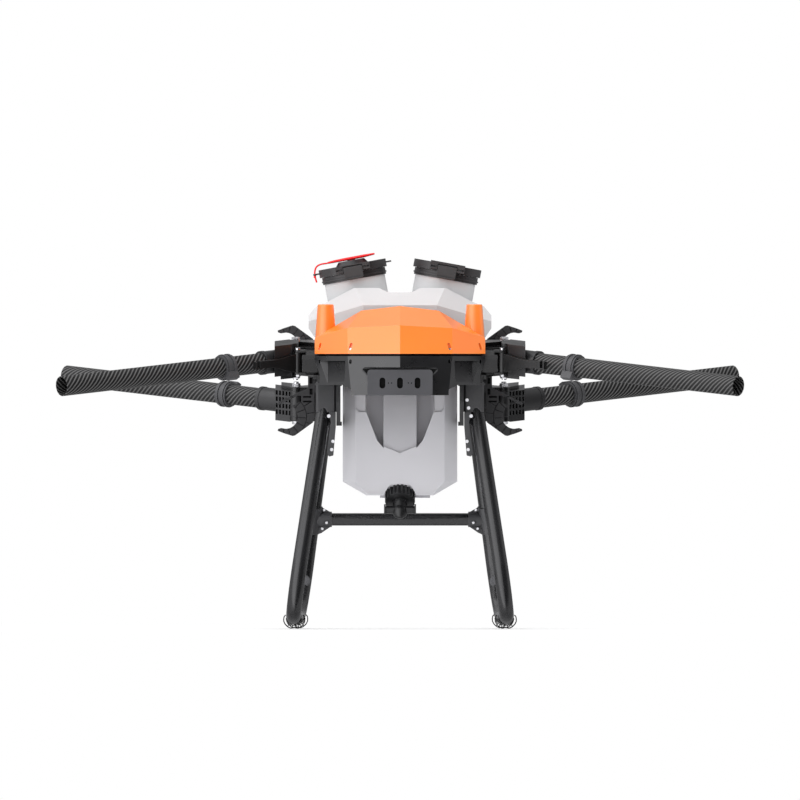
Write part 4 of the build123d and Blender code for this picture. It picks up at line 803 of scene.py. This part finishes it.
# Brightness round the horizon as (degrees, value): 0 towards the camera, + to the right.
GLOSS_LOW = [
    (-180, 0.45), (-135, 0.30), (-100, 0.80), (-80, 0.75), (-64, 2.6), (-20, 2.4), (-8, 1.30),
    (3, 1.15), (12, 0.05), (64, 0.04), (78, 0.25), (92, 0.62), (118, 0.55), (140, 0.25),
    (180, 0.45)]
GLOSS_HIGH = [
    (-180, 0.45), (-140, 0.8), (-115, 1.9), (-60, 2.5), (-12, 2.1), (4, 1.7), (16, 0.22),
    (60, 0.10), (84, 0.45), (115, 0.70), (150, 0.40), (180, 0.45)]
DIFFUSE = [(-180, 0.80), (-90, 1.50), (-40, 1.36), (10, 0.98), (60, 0.78), (110, 0.60),
           (180, 0.70)]
WORLD_GAIN = 4.0                            # ramp colours are stored divided by this


def studio_world():
    """White to the camera, a soft dome for diffuse light, panels for reflections."""
    world = bpy.data.worlds.new("studio")
    scene.world = world
    graph = Graph(world)
    # the setting is missing where Cycles isn't loaded
    try:
        world.cycles.sampling_method = "NONE"
    except AttributeError:
        pass
    x, y, z = graph.xyz(graph.add("ShaderNodeTexCoord").outputs["Generated"])
    azimuth = graph.math("ARCTAN2", x, graph.math("MULTIPLY", y, -1.0))
    turn = graph.math("ADD", graph.math("DIVIDE", azimuth, 2 * math.pi), 0.5)

    def round_ramp(stops):
        return graph.ramp(turn, [
            ((degrees + 180.0) / 360.0,
             (value / WORLD_GAIN, value / WORLD_GAIN, value / WORLD_GAIN * 1.02))
            for degrees, value in stops])

    def dimmed(*color):
        return tuple(channel / WORLD_GAIN for channel in color)

    gloss = graph.mix(graph.remap(z, (0.26, 0.50)), round_ramp(GLOSS_LOW), round_ramp(GLOSS_HIGH))
    diffuse = graph.mix(graph.remap(z, (0.15, 0.8)), round_ramp(DIFFUSE),
                        dimmed(1.42, 1.42, 1.43))
    diffuse = graph.mix(graph.remap(z, (-0.1, -0.7)), diffuse, dimmed(0.55, 0.55, 0.56))
    rays = graph.add("ShaderNodeLightPath").outputs
    light = graph.add("ShaderNodeBackground")
    graph.put(light.inputs[0], graph.mix(rays["Is Glossy Ray"], diffuse, gloss))
    light.inputs[1].default_value = WORLD_GAIN
    white = graph.add("ShaderNodeBackground")
    white.inputs[0].default_value = (1, 1, 1, 1)
    white.inputs[1].default_value = 1.0
    output = graph.add("ShaderNodeOutputWorld")
    graph.put(output.inputs[0], graph.mix_shader(rays["Is Camera Ray"], light.outputs[0],
                                                 white.outputs[0]))


def area_light(name, place, target, size, power):
    """Rectangular lamp aimed at a target and left out of reflections."""
    light = bpy.data.lights.new(name, "AREA")
    light.shape = "RECTANGLE"
    light.size, light.size_y = size
    light.energy = power
    obj = bpy.data.objects.new(name, light)
    scene.collection.objects.link(obj)
    obj.location = place
    aim = Vector(target) - Vector(place)
    obj.rotation_euler = aim.to_track_quat("-Z", "Y").to_euler()
    obj.visible_glossy = False


def camera():
    """Very long lens from the front, level with the middle of the frame."""
    sensor, lens = 36.0, 1600.0
    half_view, height = 0.8, 0.457          # metres
    data = bpy.data.cameras.new("camera")
    data.type = "PERSP"
    data.sensor_fit = "HORIZONTAL"
    data.sensor_width = sensor
    data.lens = lens
    data.clip_start = 1.0
    data.clip_end = 400.0
    obj = bpy.data.objects.new("camera", data)
    scene.collection.objects.link(obj)
    distance = half_view / math.tan(math.atan(sensor / 2 / lens))
    obj.location = (0.0, -distance, height)
    obj.rotation_euler = (math.radians(90), 0, 0)
    scene.camera = obj


floor()
studio_world()
area_light("key_left", place=(-2.6, -2.4, 2.4), target=(0, 0, 0.45), size=(1.6, 1.6), power=26)
area_light("top_soft", place=(0.2, -0.4, 3.2), target=(0, 0, 0.5), size=(2.2, 1.8), power=20)
camera()
scene.view_settings.view_transform = "Standard"
scene.view_settings.look = "None"
scene.view_settings.exposure = 0.0
scene.view_settings.gamma = 1.0
